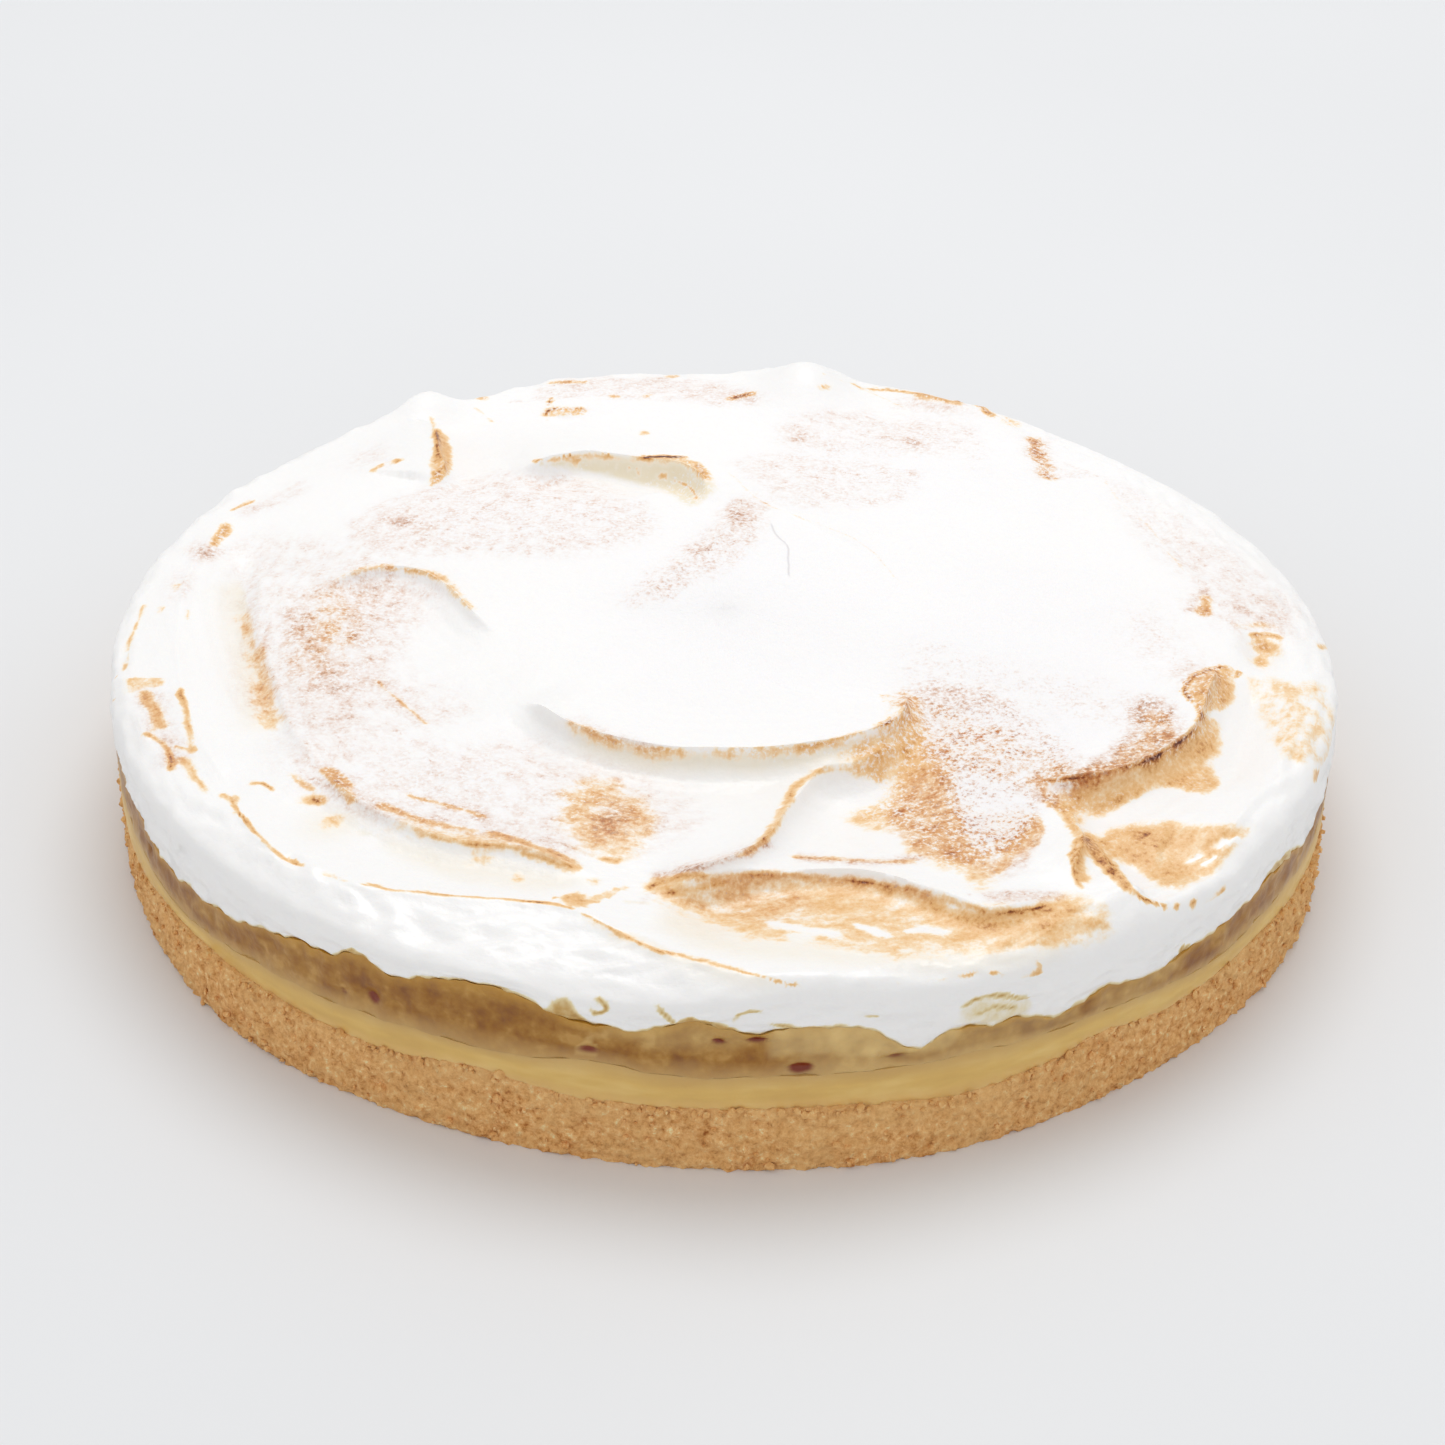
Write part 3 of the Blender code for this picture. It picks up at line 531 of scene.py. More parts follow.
# Browned sugar: a mottled veil, and fine brown dots where the mark is strong.
SPECKLES = [
    # Over the toast on the front right, and where its sugar thins out.
    Patch([(36, -30), (46, -26), (58, -32), (68, -46), (72, -62), (63, -72), (62, -84), (52, -94), (44, -91),
           (33, -82), (34, -66), (40, -56)], 6.0, 0.74),
    Patch([(66, -64), (72, -56), (80, -44), (84, -30), (92, -30), (93, -44), (86, -52), (76, -62)],
          5.0, 0.82),
    Patch([(36, -30), (40, -10), (60, -16), (80, -24), (84, -40), (60, -38), (44, -34)], 10.0, 0.34),
    line([(36, -30), (35.5, -38)], 2.0, 0.60),
    line([(-14, -98), (-8, -94.5), (0, -91.5), (6, -87.5), (10, -84)], 1.7, 0.90),
    line([(13, -89.5), (22, -91), (30, -90.5), (40, -88.5)], 1.6, 0.84),
    line([(-8, -97), (10, -96), (28, -97.5), (40, -101)], 2.0, 0.62),
    Patch([(-10, -101), (8, -97), (18, -104), (10, -110), (-4, -107)], 5.0, 0.40),
    Patch([(49, -99), (60, -97), (64, -100), (52, -102.5)], 2.5, 0.62),
    # The right: the lip's back, the rim behind it and the crater's surroundings.
    Spot(98, -20, 6, 8, 0.66),
    Spot(115, 8, 10, 12, 0.60),
    line([(104, 20), (103, 4)], 4.0, 0.64),
    Patch([(88, 70), (100, 58), (112, 40), (124, 10), (112, 0), (100, 22), (92, 45)], 9.0, 0.38),
    Spot(90, -5, 10, 15, 0.34),
    # The left patch, in two streaks, and its thin surroundings.
    Patch([(-97, 0), (-90, 14), (-80, 20), (-70, 16), (-66, 2), (-70, -20), (-70, -40), (-82, -50),
           (-91, -40), (-95, -20)], 12.0, 0.50),
    line([(-91, 6), (-88, -10), (-82, -24), (-81, -38)], 6.0, 0.66),
    line([(-80, 16), (-79, 0), (-77, -16)], 6.0, 0.56),
    line([(-103, 2), (-97, -16), (-92, -44)], 4.0, 0.50),
    line([(-72, -28), (-65, -40), (-59, -46)], 2.2, 0.58),
    Patch([(-112, 30), (-100, 36), (-76, 26), (-60, 10), (-66, -20), (-50, -40), (-70, -52), (-96, -40),
           (-106, 0)], 12.0, 0.34),
    # The front left: round the band and up to the dome.
    Patch([(-90, -50), (-75, -47), (-55, -52), (-40, -50), (-28, -56), (-14, -62), (-4, -76), (-9, -86),
           (-22, -90), (-45, -86), (-66, -80), (-86, -64)], 12.0, 0.40),
    line([(-82, -60), (-68, -73), (-54, -80), (-38, -84), (-24, -91)], 4.5, 0.56),
    line([(-60, -70), (-50, -75), (-44, -80)], 2.0, 0.66),
    Spot(-21, -78, 6, 9, 0.94),
    Spot(-10, -79, 7, 3, 0.50),
    line([(-32, -42), (-22, -50), (-12, -54)], 2.2, 0.55),
    # The back left, and the arm that runs down the middle.
    Patch([(-82, 24), (-86, 38), (-78, 52), (-62, 63), (-42, 66), (-22, 54), (-16, 36), (-28, 26),
           (-55, 24)], 9.0, 0.44),
    Spot(-73.5, 41, 5.5, 3.5, 1.0),
    Spot(-67, 37.5, 4, 2.5, 0.70),
    Patch([(10, 52), (6, 56), (0, 50), (-4, 38), (-10, 28), (-18, 15), (-22, 4), (-14, 4), (-5, 13),
           (2, 22), (8, 32)], 6.0, 0.56),
    Spot(3, 44, 3.5, 7, 0.94),
    Spot(-5.5, 28.5, 4.5, 4.5, 0.90),
    Patch([(1, 72), (10, 78), (28, 76), (45, 70), (42, 56), (28, 50), (14, 50), (6, 62)], 8.0, 0.42),
    Patch([(12, 82), (14, 98), (28, 104), (46, 100), (60, 94), (54, 80), (30, 76)], 9.0, 0.38),
    Spot(17.5, 88, 4, 6, 0.62),
    Spot(43.5, 87, 4, 4, 0.84),
    Spot(36, 87, 2, 3, 0.66),
    Spot(58, 80, 4, 10, 0.38),
    Stroke([(73, 92), (74, 80), (76, 66)], 3.2, 3.2, 0.78),
    Patch([(-48, 106), (-30, 108), (-10, 106), (0, 104), (3, 116), (-20, 122), (-44, 119)], 6.0, 0.48),
    Spot(4, 110, 5, 4, 0.80),
    Spot(50, 108, 10, 7, 0.60),
    # The left rim.
    Spot(-115, 28, 4, 5, 0.92),
    Spot(-118, 12, 3, 8, 0.46),
    line([(-112, 44), (-104, 52), (-96, 62)], 3.0, 0.44),
    line([(-119, -28), (-113, -46), (-106, -62)], 3.5, 0.60),
    Spot(-84, 74, 6, 7, 0.40),
]

# Where the torch's brown was scraped off again, down to white.
SCRAPED = [
    line([(8, -109), (12, -111), (18, -112), (22, -112.5)], 1.0, 0.95),
    line([(12, -113.5), (17, -114.2)], 0.6, 0.9),
    line([(33, -112), (37, -111), (42, -111.5)], 0.9, 0.95),
    line([(24, -109.5), (27, -111), (31, -113.5)], 0.7, 0.95),
    line([(-2, -93.2), (8, -92), (20, -92.6), (32, -93.4), (44, -95.5)], 1.3, 1.0),
    line([(88, -87.5), (92, -84.5)], 0.45, 1.0),
    line([(91, -88), (94.5, -84.5)], 0.45, 1.0),
    line([(94, -83), (97.5, -79.5)], 0.5, 1.0),
    line([(97, -81), (99.5, -78)], 0.45, 1.0),
    Patch([(61, -69), (65, -74), (65.5, -92), (61, -96), (58, -90), (62, -80)], 1.4, 0.95),
    Patch([(56, -93), (62, -92), (64, -97), (54, -97)], 1.6, 0.90),
]

# Painted shade: a warm cream tint on the steep faces that the light reaches least, which the torch reaches
# least too.
CREAM_SHADE = [
    Stroke([(-30, -46), (-12, -55), (0, -55.5), (15, -54), (25, -50), (32, -45)], 0.3, 6.0, 0.95),
    Stroke([(-106, 15), (-100, -12), (-95, -30), (-91, -48)], 0.5, 5.0, 0.60),
    Patch([(-42, 70), (-30, 66), (-20, 61), (-13, 55), (-8, 49), (-4, 58), (-8, 72), (-18, 73),
           (-27, 74), (-36, 74)], 3.0, 1.15),
    Spot(-74, -80, 6, 5, 0.50),
    Patch([(-64, -84), (-50, -90), (-36, -94), (-26, -98), (-34, -100), (-50, -97), (-62, -90)], 5.0, 0.40),
    Stroke([(-20, -112), (-5, -121), (12, -128)], 0.3, 3.5, 0.40),
    Patch([(-10, -106), (10, -112), (40, -117), (62, -114), (50, -121), (10, -121), (-10, -114)], 7.0, 0.45),
]

SUGAR = [
    Spot(5, 0, 45, 50, 0.95),
    Spot(65, -8, 36, 50, 1.00),
    Spot(50, 70, 60, 40, 0.70),
    Spot(-80, -5, 22, 35, 0.40),
    Spot(-45, 45, 45, 25, 0.60),
    Spot(-45, -62, 40, 18, 0.45),
    Patch([(40, -36), (56, -34), (76, -40), (72, -52), (66, -58), (60, -66), (62, -72), (54, -80), (46, -76),
           (43, -62), (40, -50)], 7.0, 0.92),
    Patch([(45, -62), (52, -58), (60, -66), (61, -71), (57, -82), (50, -88), (46, -78)], 6.0, 1.05),
    line([(22, -62), (34, -72), (44, -84), (50, -94)], 7.0, 0.50),
    Spot(-112, 20, 12, 40, 0.30),
    Spot(-20, 105, 60, 18, 0.50),
]
# Smooth bare meringue, where the sugar slid off or never fell.
BARE = [
    line([(-45, -20), (-30, -56), (0, -64), (26, -70)], 8.0, 1.0),
    line([(-105, 30), (-107, 12), (-102, -11), (-92, -37)], 6.0, 0.8),
    line([(109, -20), (107, -38), (98, -60)], 6.0, 1.0),
    line([(-80, -100), (-20, -118), (40, -118)], 14.0, 1.0),
    line([(0, -103), (30, -106), (60, -108)], 8.0, 1.0),
    line([(80, -84), (95, -84)], 10.0, 1.0),
    line([(68, -66), (82, -60), (92, -54), (100, -44)], 4.5, 1.0),
    line([(-34, 70), (-10, 66)], 6.0, 0.9),
]
# The crack near the middle, painted as a thin grey line of shade.
CRACKS = [line([(10, 42), (11, 36), (13.5, 31), (13.5, 25), (14, 16)], 0.2, 1.0)]

# A stroke reaches this many of its widths from its line. It fades towards its ends over at least
# this length, and its ends are blunt: the fade starts this share of the way in.
STROKE_REACH = 3.2
LEAST_STROKE_FADE = 2.5 * MM
BLUNT_END = 0.2
# Marks blend as a power sum: the higher the power, the less they add up where they overlap.
CRISP_BLEND = 5.0
SOFT_BLEND = 3.0
# How fully a scraped streak clears the toast, and how much of the specks it takes with it.
SCRAPE_STRENGTH = 1.3
SCRAPE_SPECKS = 0.8
# The marks' edges wander by these amounts, in lumps of these sizes.
PAINT_WANDER = ((1.4 * MM, 9.0 * MM), (0.6 * MM, 3.0 * MM))
LINE_WANDER = ((0.4 * MM, 5.0 * MM), (0.15 * MM, 1.8 * MM))
# A line's strength varies along it by this share, in stretches of this length.
LINE_VARIATION = 0.38
LINE_STRETCH = 6.0 * MM
# Lumps and marks are drawn out round the tart by up to this much, the way that the spatula went.
DRAWN_OUT = 3.0

# Fruit smeared on the meringue's wall: each point is an angle from +X in degrees and a height in
# millimetres, and the width is in millimetres.
STAINS = [
    # Humps and horns that rise from the lip, and a loop above it.
    Patch([(-109.2, 34.0), (-108.2, 36.2), (-107.2, 36.8), (-106.2, 34.0)], 1.2, 0.60),
    Patch([(-105.0, 31.5), (-103.4, 34.8), (-102.3, 36.6), (-101.4, 34.8), (-100.5, 31.0)], 1.6, 0.64),
    line([(-100.0, 36.8), (-99.1, 36.5), (-99.1, 35.0), (-99.7, 34.2), (-100.1, 35.4)], 0.4, 0.66),
    line([(-95.0, 37.4), (-94.4, 36.0), (-93.4, 33.6)], 0.45, 0.66),
    Patch([(-94.0, 32.0), (-93.0, 34.8), (-90.0, 34.6), (-88.6, 32.0)], 0.9, 0.62),
    line([(-88.9, 34.4), (-88.5, 36.0), (-87.4, 36.6), (-86.2, 36.0)], 0.4, 0.58),
    line([(-86.2, 33.9), (-84.7, 33.6), (-83.0, 32.6), (-81.0, 32.4), (-79.4, 32.8)], 0.5, 0.68),
    line([(-78.6, 34.0), (-77.1, 34.3)], 0.35, 0.50),
    # The smear right of the tongue.
    Patch([(-70.6, 30.0), (-69.9, 33.4), (-67.6, 33.4), (-64.8, 31.4), (-63.6, 28.5), (-64.6, 26.0),
           (-67.5, 27.0)], 3.5, 0.24),
    line([(-70.4, 33.2), (-68.2, 33.8), (-65.4, 32.2), (-63.9, 30.2)], 0.4, 0.66),
    line([(-69.6, 31.2), (-66.4, 31.0), (-65.0, 29.4)], 0.4, 0.60),
    # Thin fruit along the edge elsewhere.
    Patch([(-48.6, 25.0), (-48.0, 27.6), (-46.6, 27.4), (-46.4, 25.0)], 0.5, 0.60),
    Patch([(-36.0, 27.0), (-34.0, 29.6), (-31.0, 29.2), (-28.5, 27.2)], 0.9, 0.55),
    Patch([(-124.2, 30.5), (-122.2, 34.8), (-120.4, 35.0), (-119.4, 32.0)], 0.8, 0.60),
]
STAIN_WANDER = ((0.8 * MM, 5.0 * MM), (0.4 * MM, 1.8 * MM))
# Only the side is stained: from this share of the radius outwards, past a fade this wide.
STAINED_FROM = 0.955
STAIN_FADE = 3.0 * MM
LIP_STAIN = 0.50
LIP_STAIN_HEIGHT = 0.6 * MM

# Pits in the compote, in the same angles and heights: the radii are in millimetres. The mesh is dented there,
# and its colour is darkened there as painted shade.
CAVITIES = [
    Spot(-122.9, 23.7, 1.3, 0.9, 0.9),
    Spot(-119.8, 24.9, 2.0, 1.7, 1.2),
    Spot(-100.5, 25.4, 3.0, 1.3, 1.0),
    Spot(-90.0, 29.2, 1.9, 0.9, 1.1),
    Spot(-86.9, 29.6, 2.9, 0.9, 1.1),
    Spot(-83.3, 22.9, 2.9, 1.5, 1.3),
    Spot(-75.5, 23.4, 3.2, 0.7, 0.8),
    Spot(-152.0, 22.5, 1.4, 0.7, 0.8),
    Spot(-22.0, 24.0, 1.7, 0.6, 0.8),
    Spot(24.0, 25.5, 1.3, 0.8, 0.9),
    Spot(68.0, 24.2, 2.2, 0.6, 0.8),
    Spot(103.0, 26.4, 1.4, 1.0, 0.9),
    Spot(131.0, 24.6, 1.8, 0.7, 0.8),
    Spot(176.0, 25.8, 1.5, 0.8, 0.9),
]
CAVITY_DEPTH = 1.1 * MM
# Where the fruit is pale and watery, in the same angles and heights.
WATERY = [
    Patch([(-86, 25.5), (-85, 34), (-72, 34), (-71, 23.5), (-78, 24.5)], 3.0, 0.90),
    Patch([(-85, 20), (-82, 27), (-64, 27), (-60, 20)], 5.0, 0.45),
    Patch([(-100, 29), (-96, 34), (-86, 34), (-88, 28.5)], 3.5, 0.40),
    Patch([(-58, 22), (-56, 27), (-48, 27), (-48, 22)], 4.0, 0.35),
    Spot(40, 26, 20, 4, 0.50),
    Spot(120, 25, 18, 4, 0.50),
]

# The crust's crumb relief and the sizes of its lumps and pits, its rounded edges, and how far in the
# ledge under the custard begins, as a share of the radius.
CRUMB_RELIEF = 0.9 * MM
COARSE_CRUMBS = 3.6 * MM
FINE_CRUMBS = 1.7 * MM
CRUMB_PITS = 1.1 * MM
CRUST_ROUNDING = 0.25 * MM
CRUST_LEDGE = 0.985
# The crumbs that cling to it: their sizes, how much each is shrunk and stretched, how rough its
# surface is, and which shares of the crust's height they lie at, on the side and near the ledge.
CRUMB_COUNT = 900
CRUMB_RADII = (0.35 * MM, 1.10 * MM)
CRUMB_SHRINK = (0.5, 1.0)
CRUMB_STRETCH = (0.6, 1.3)
CRUMB_BUMPS = (0.75, 1.2)
SIDE_LEVELS = (0.02, 0.98)
LEDGE_LEVELS = (0.9, 1.0)
# A crumb's middle stands off the crust, and at least so far off the floor, in shares of its radius.
CRUMB_STAND_OFF = 0.25
CRUMB_LEAST_HEIGHT = 0.7

random = np.random.default_rng(SEED)


# ---------------------------------------------------------------------------------------------
# Surfaces: the same functions as the solids', and the fine relief on top of them.
# ---------------------------------------------------------------------------------------------
def waves(angles, mean, humps):
    """A height or a radius round the rim: the mean, with each hump or dip added to it."""
    total = np.full(len(angles), mean)
    for hump in humps:
        away = (angles - hump.angle + 180.0) % 360.0 - 180.0
        total += hump.height * np.exp(-((away / hump.width) ** 2))
    return total


def smooth_curve(points):
    """A smooth curve through the points, given in millimetres: a Catmull-Rom spline."""
    knots = np.array(points, dtype=float) * MM
    knots = np.vstack([2 * knots[0] - knots[1], knots, 2 * knots[-1] - knots[-2]])
    curve = []
    for before, start, end, after in zip(knots, knots[1:], knots[2:], knots[3:]):
        steps = max(2, round(np.linalg.norm(end - start) / CURVE_STEP))
        for t in np.arange(steps) / steps:
            pull = (end - before) * t
            bend = (2 * before - 5 * start + 4 * end - after) * t**2
            twist = (3 * start - before - 3 * end + after) * t**3
            curve.append(start + 0.5 * (pull + bend + twist))
    curve.append(knots[-2])
    return np.array(curve)


def near_curve(places, curve, reach):
    """Which places lie within reach of the curve's bounding box."""
    low = curve.min(axis=0) - reach
    high = curve.max(axis=0) + reach
    return np.flatnonzero(((places > low) & (places < high)).all(axis=1))


def from_curve(places, curve):
    """Each place's distance from the curve, positive on its left, how far along the curve it is
    from the nearer end, and the direction that points left there."""
    starts = curve[:-1]
    spans = np.diff(curve, axis=0)
    lengths = np.hypot(spans[:, 0], spans[:, 1])
    along_curve = np.concatenate([[0.0], np.cumsum(lengths)])
    signed = np.empty(len(places))
    from_end = np.empty(len(places))
    leftward = np.empty((len(places), 2))
    for chunk in np.array_split(np.arange(len(places)), len(places) // PLACES_AT_A_TIME + 1):
        gaps = places[chunk][:, None, :] - starts[None, :, :]
        along = np.clip((gaps * spans).sum(axis=2) / lengths**2, 0.0, 1.0)
        nearest = gaps - along[:, :, None] * spans
        distances = np.hypot(nearest[:, :, 0], nearest[:, :, 1])
        chosen = distances.argmin(axis=1)
        row = np.arange(len(chunk))
        away = nearest[row, chosen]
        span = spans[chosen] / lengths[chosen][:, None]
        side = np.sign(span[:, 0] * away[:, 1] - span[:, 1] * away[:, 0])
        reached = along_curve[chosen] + along[row, chosen] * lengths[chosen]
        signed[chunk] = side * distances[row, chosen]
        from_end[chunk] = np.minimum(reached, along_curve[-1] - reached)
        leftward[chunk] = np.column_stack([-span[:, 1], span[:, 0]])
    return signed, from_end, leftward


def smooth_step(share):
    share = np.clip(share, 0.0, 1.0)
    return share * share * (3.0 - 2.0 * share)


def ridge_reach(ridge):
    """How far from its line a ridge still moves the surface."""
    left = GUTTER_TAIL if ridge.left_gutter else FLANK_TAIL
    right = GUTTER_TAIL if ridge.right_gutter else FLANK_TAIL
    return max(left * ridge.left, right * ridge.right) * MM


def ridge_height(distance, from_end, ridge):
    """How much a spatula line raises or lowers the surface, given the distances from it."""
    on_left = distance > 0
    reach = np.where(on_left, ridge.left, ridge.right) * MM
    gutter = np.where(on_left, ridge.left_gutter, ridge.right_gutter) * MM
    crest = ridge.height * MM * np.exp(-((np.abs(distance) / reach) ** FLANK_POWER))
    outward = np.abs(distance) / (reach * GUTTER_REACH)
    hollow = gutter * outward * np.exp(1.0 - outward) * np.exp(-(outward**2) / 4)
    return smooth_step(from_end / END_FADE) * (crest - hollow)


def mound_height(places, mound):
    across = (places[:, 0] / MM - mound.x) / mound.radius_x
    along = (places[:, 1] / MM - mound.y) / mound.radius_y
    return mound.height * MM * np.exp(-(across**2 + along**2))


def uneven(points, size, layer=0.0):
    """Smooth unevenness between about -1 and 1, with lumps of this size. Each layer has its own."""
    shifted = np.asarray(points) / size
    return np.array([noise.noise(Vector((x, y, z + layer))) for x, y, z in shifted])


def unevenness(points, kinds, layer=0.0):
    """Unevenness of several kinds at once, each given by its height and the size of its lumps."""
    return sum(height * uneven(points, size, layer) for height, size in kinds)


def flat_points(places):
    return np.column_stack([places, np.zeros(len(places))])


def top_relief(places):
    """Every ridge, mound and swell of the top, and how far each crest leans over its steep side."""
    relief = SWELL_HEIGHT * np.sin(places[:, 0] / SWELL_LENGTH * math.tau)
    relief += SWELL_HEIGHT * np.sin((places[:, 1] + SWELL_SKEW * places[:, 0]) / SWELL_LENGTH * math.tau)
    lean = np.zeros_like(places)
    for name, ridge in RIDGES.items():
        curve = smooth_curve(ridge.points)
        near = near_curve(places, curve, ridge_reach(ridge))
        distance, from_end, leftward = from_curve(places[near], curve)
        relief[near] += ridge_height(distance, from_end, ridge)
        fade = smooth_step(from_end / END_FADE)
        if name in COMBED_RIDGES:
            comb = COMB_HEIGHT * np.cos(distance / COMB_LENGTH * math.tau)
            relief[near] += comb * fade * np.exp(-((distance / COMB_REACH) ** 2))
        if ridge.height > 0 and ridge.left != ridge.right:
            sharp = np.exp(-np.abs(distance) / CREST_SHARP_WIDTH)
            relief[near] += CREST_SHARPNESS * ridge.height * MM * fade * sharp
            side = 1.0 if ridge.left < ridge.right else -1.0
            width = np.where(distance * side > 0, LEAN_STEEP, LEAN_GENTLE)
            shift = side * ridge.height * MM * CREST_LEAN * fade * np.exp(-((distance / width) ** 2))
            lean[near] += leftward * shift[:, None]
    for mound in MOUNDS.values():
        relief += mound_height(places, mound)
    return relief, lean


def wall_tops(angles):
    """How high the meringue's wall stands: always a little above the compote."""
    least = waves(angles, COMPOTE_TOP, COMPOTE_TOP_WAVES) + LEAST_WALL
    return np.maximum(waves(angles, WALL_TOP, WALL_TOPS), least)


def top_surface(places):
    """The meringue's top at each place, and how far its crests lean."""
    radius = np.hypot(places[:, 0], places[:, 1])
    angles = np.degrees(np.arctan2(places[:, 1], places[:, 0]))
    inward = np.clip(TART_RADIUS - radius, 0.0, None)
    width = waves(angles, SHOULDER_WIDTH, SHOULDER_WIDTHS)
    wall_top = wall_tops(angles)
    turned = np.sqrt(1.0 - (1.0 - np.clip(inward / width, 0.0, 1.0)) ** 2)
    dome = RIM_HEIGHT + (CENTRE_HEIGHT - RIM_HEIGHT) * (1.0 - (radius / TART_RADIUS) ** 2)
    relief, lean = top_relief(places)
    heights = wall_top + (dome + relief - wall_top) * turned
    return heights, lean * turned[:, None]


# ---------------------------------------------------------------------------------------------
# Painting: strokes drawn as seen from the camera, kept as one number for each point.
# ---------------------------------------------------------------------------------------------
def canvas_height(places):
    radius = np.hypot(places[:, 0], places[:, 1])
    return CANVAS_RIM + CANVAS_RISE * (1.0 - (radius / CANVAS_RADIUS) ** 2)


def sight_slope(points):
    """How far the line of sight through each point moves in plan for each metre of height."""
    away = points - np.array(CAMERA_PLACE)
    return away[:, :2] / away[:, 2:]


def on_canvas(points):
    """Where each point of the tart is seen on the plain dome that the strokes are drawn on."""
    slope = sight_slope(points)
    seen = points[:, :2]
    for _ in range(CANVAS_ROUNDS):
        seen = points[:, :2] + slope * (canvas_height(seen) - points[:, 2])[:, None]
    return seen


def off_canvas(seen):
    """The reverse: where a place on that plain dome lies on the real surface, in plan."""
    points = np.column_stack([seen, canvas_height(seen)])
    slope = sight_slope(points)
    places = seen.copy()
    for _ in range(SURFACE_ROUNDS):
        step = seen + slope * (top_surface(places)[0] - points[:, 2])[:, None] - places
        places += CAREFUL_SHARE * step
    return places


def stroke_strength(places, stroke):
    """How strongly a stroke marks each place: most on its line, fading across it and at its ends."""
    curve = smooth_curve(stroke.points)
    reach = STROKE_REACH * max(stroke.left, stroke.right) * MM
    near = near_curve(places, curve, reach)
    distance, from_end, _ = from_curve(places[near], curve)
    width = np.where(distance > 0, stroke.left, stroke.right) * MM
    length = np.hypot(*np.diff(curve, axis=0).T).sum()
    # A short stroke fades over no more than a quarter of its length at each end.
    fade_length = min(max(LEAST_STROKE_FADE, reach / 2), length / 4)
    fade = smooth_step(from_end / fade_length + BLUNT_END)
    marked = np.zeros(len(places))
    marked[near] = stroke.strength * fade * np.exp(-((distance / width) ** 2))
    return marked


def spot_strength(places, spot):
    across = (places[:, 0] / MM - spot.x) / spot.radius_x
    along = (places[:, 1] / MM - spot.y) / spot.radius_y
    return spot.strength * np.exp(-(across**2 + along**2))


def patch_strength(places, patch):
    """How strongly a patch marks each place: fully inside it, fading across its outline."""
    outline = smooth_curve([*patch.outline, patch.outline[0]])
    fade = patch.fade * MM
    near = near_curve(places, outline, fade)
    distance, _, _ = from_curve(places[near], outline)
    area = (outline[:-1, 0] * outline[1:, 1] - outline[1:, 0] * outline[:-1, 1]).sum()
    marked = np.zeros(len(places))
    marked[near] = patch.strength * smooth_step(0.5 + distance * np.sign(area) / fade)
    return marked


def mark_strength(places, mark):
    if isinstance(mark, Spot):
        return spot_strength(places, mark)
    if isinstance(mark, Patch):
        return patch_strength(places, mark)
    return stroke_strength(places, mark)


def painted(places, marks, blend=CRISP_BLEND):
    """Several marks as one: close to the strongest, a little more where they overlap."""
    return sum(mark_strength(places, mark) ** blend for mark in marks) ** (1.0 / blend)


def drawn_out(places):
    """The places rolled on to a narrow drum, on which lumps come out drawn round the tart."""
    radius = np.hypot(places[:, 0], places[:, 1])
    turned = places / np.maximum(radius, MM)[:, None] * TART_RADIUS / DRAWN_OUT
    return np.column_stack([turned, radius])


def wandered(seen, wander, layout=flat_points):
    """The places, each moved a little by smooth noise, so that the marks' edges wander."""
    moved = seen.copy()
    laid = layout(seen)
    for turn, (amount, size) in enumerate(wander):
        for axis in (0, 1):
            moved[:, axis] += amount * uneven(laid, size, layer=40.0 + 7.0 * turn + 3.5 * axis)
    return moved


def paint_top(seen):
    """The top's marks, each kind as one number for each point."""
    crisp = wandered(seen, LINE_WANDER)
    broad = wandered(seen, PAINT_WANDER, drawn_out)
    variation = 1.0 + LINE_VARIATION * uneven(flat_points(seen), LINE_STRETCH)
    lines = painted(crisp, TOAST_LINES) * variation
    toast = (lines**CRISP_BLEND + painted(broad, TOAST_AREAS) ** CRISP_BLEND) ** (1.0 / CRISP_BLEND)
    scraped = np.clip(SCRAPE_STRENGTH * painted(crisp, SCRAPED), 0.0, 1.0)
    bare = np.clip(painted(broad, BARE), 0.0, 1.0)
    return {
        "toast": toast * (1.0 - scraped),
        "speckle": painted(broad, SPECKLES, SOFT_BLEND) * (1.0 - SCRAPE_SPECKS * scraped),
        "sugar": painted(broad, SUGAR, SOFT_BLEND) * (1.0 - bare),
        # Painted shade: the warm cream tint on the steep faces.
        "painted_cream_shade": painted(broad, CREAM_SHADE),
        "crack_shade": painted(crisp, CRACKS),
    }


def unrolled(points):
    """The wall rolled out flat: millimetres round the rim from +X, and the height, both in metres."""
    angles = np.degrees(np.arctan2(points[:, 1], points[:, 0]))
    return np.column_stack([angles * MM_PER_DEGREE * MM, points[:, 2]])


def on_wall(mark):
    """A mark given in degrees and millimetres, with its points or its place in millimetres."""
    if isinstance(mark, Spot):
        return mark._replace(x=mark.x * MM_PER_DEGREE)
    if isinstance(mark, Patch):
        return mark._replace(outline=[(angle * MM_PER_DEGREE, height) for angle, height in mark.outline])
    return mark._replace(points=[(angle * MM_PER_DEGREE, height) for angle, height in mark.points])


def paint_stain(points, lip):
    """Fruit on the meringue's wall, and the thin edge above the compote, which it shows through."""
    flat = wandered(unrolled(points), STAIN_WANDER)
    smeared = painted(flat, [on_wall(mark) for mark in STAINS])
    above_lip = np.clip(points[:, 2] - lip, 0.0, None)
    edge = LIP_STAIN * np.exp(-((above_lip / LIP_STAIN_HEIGHT) ** 2))
    radius = np.hypot(points[:, 0], points[:, 1])
    on_side = smooth_step((radius - STAINED_FROM * TART_RADIUS) / STAIN_FADE)
    return np.maximum(smeared, edge) * on_side


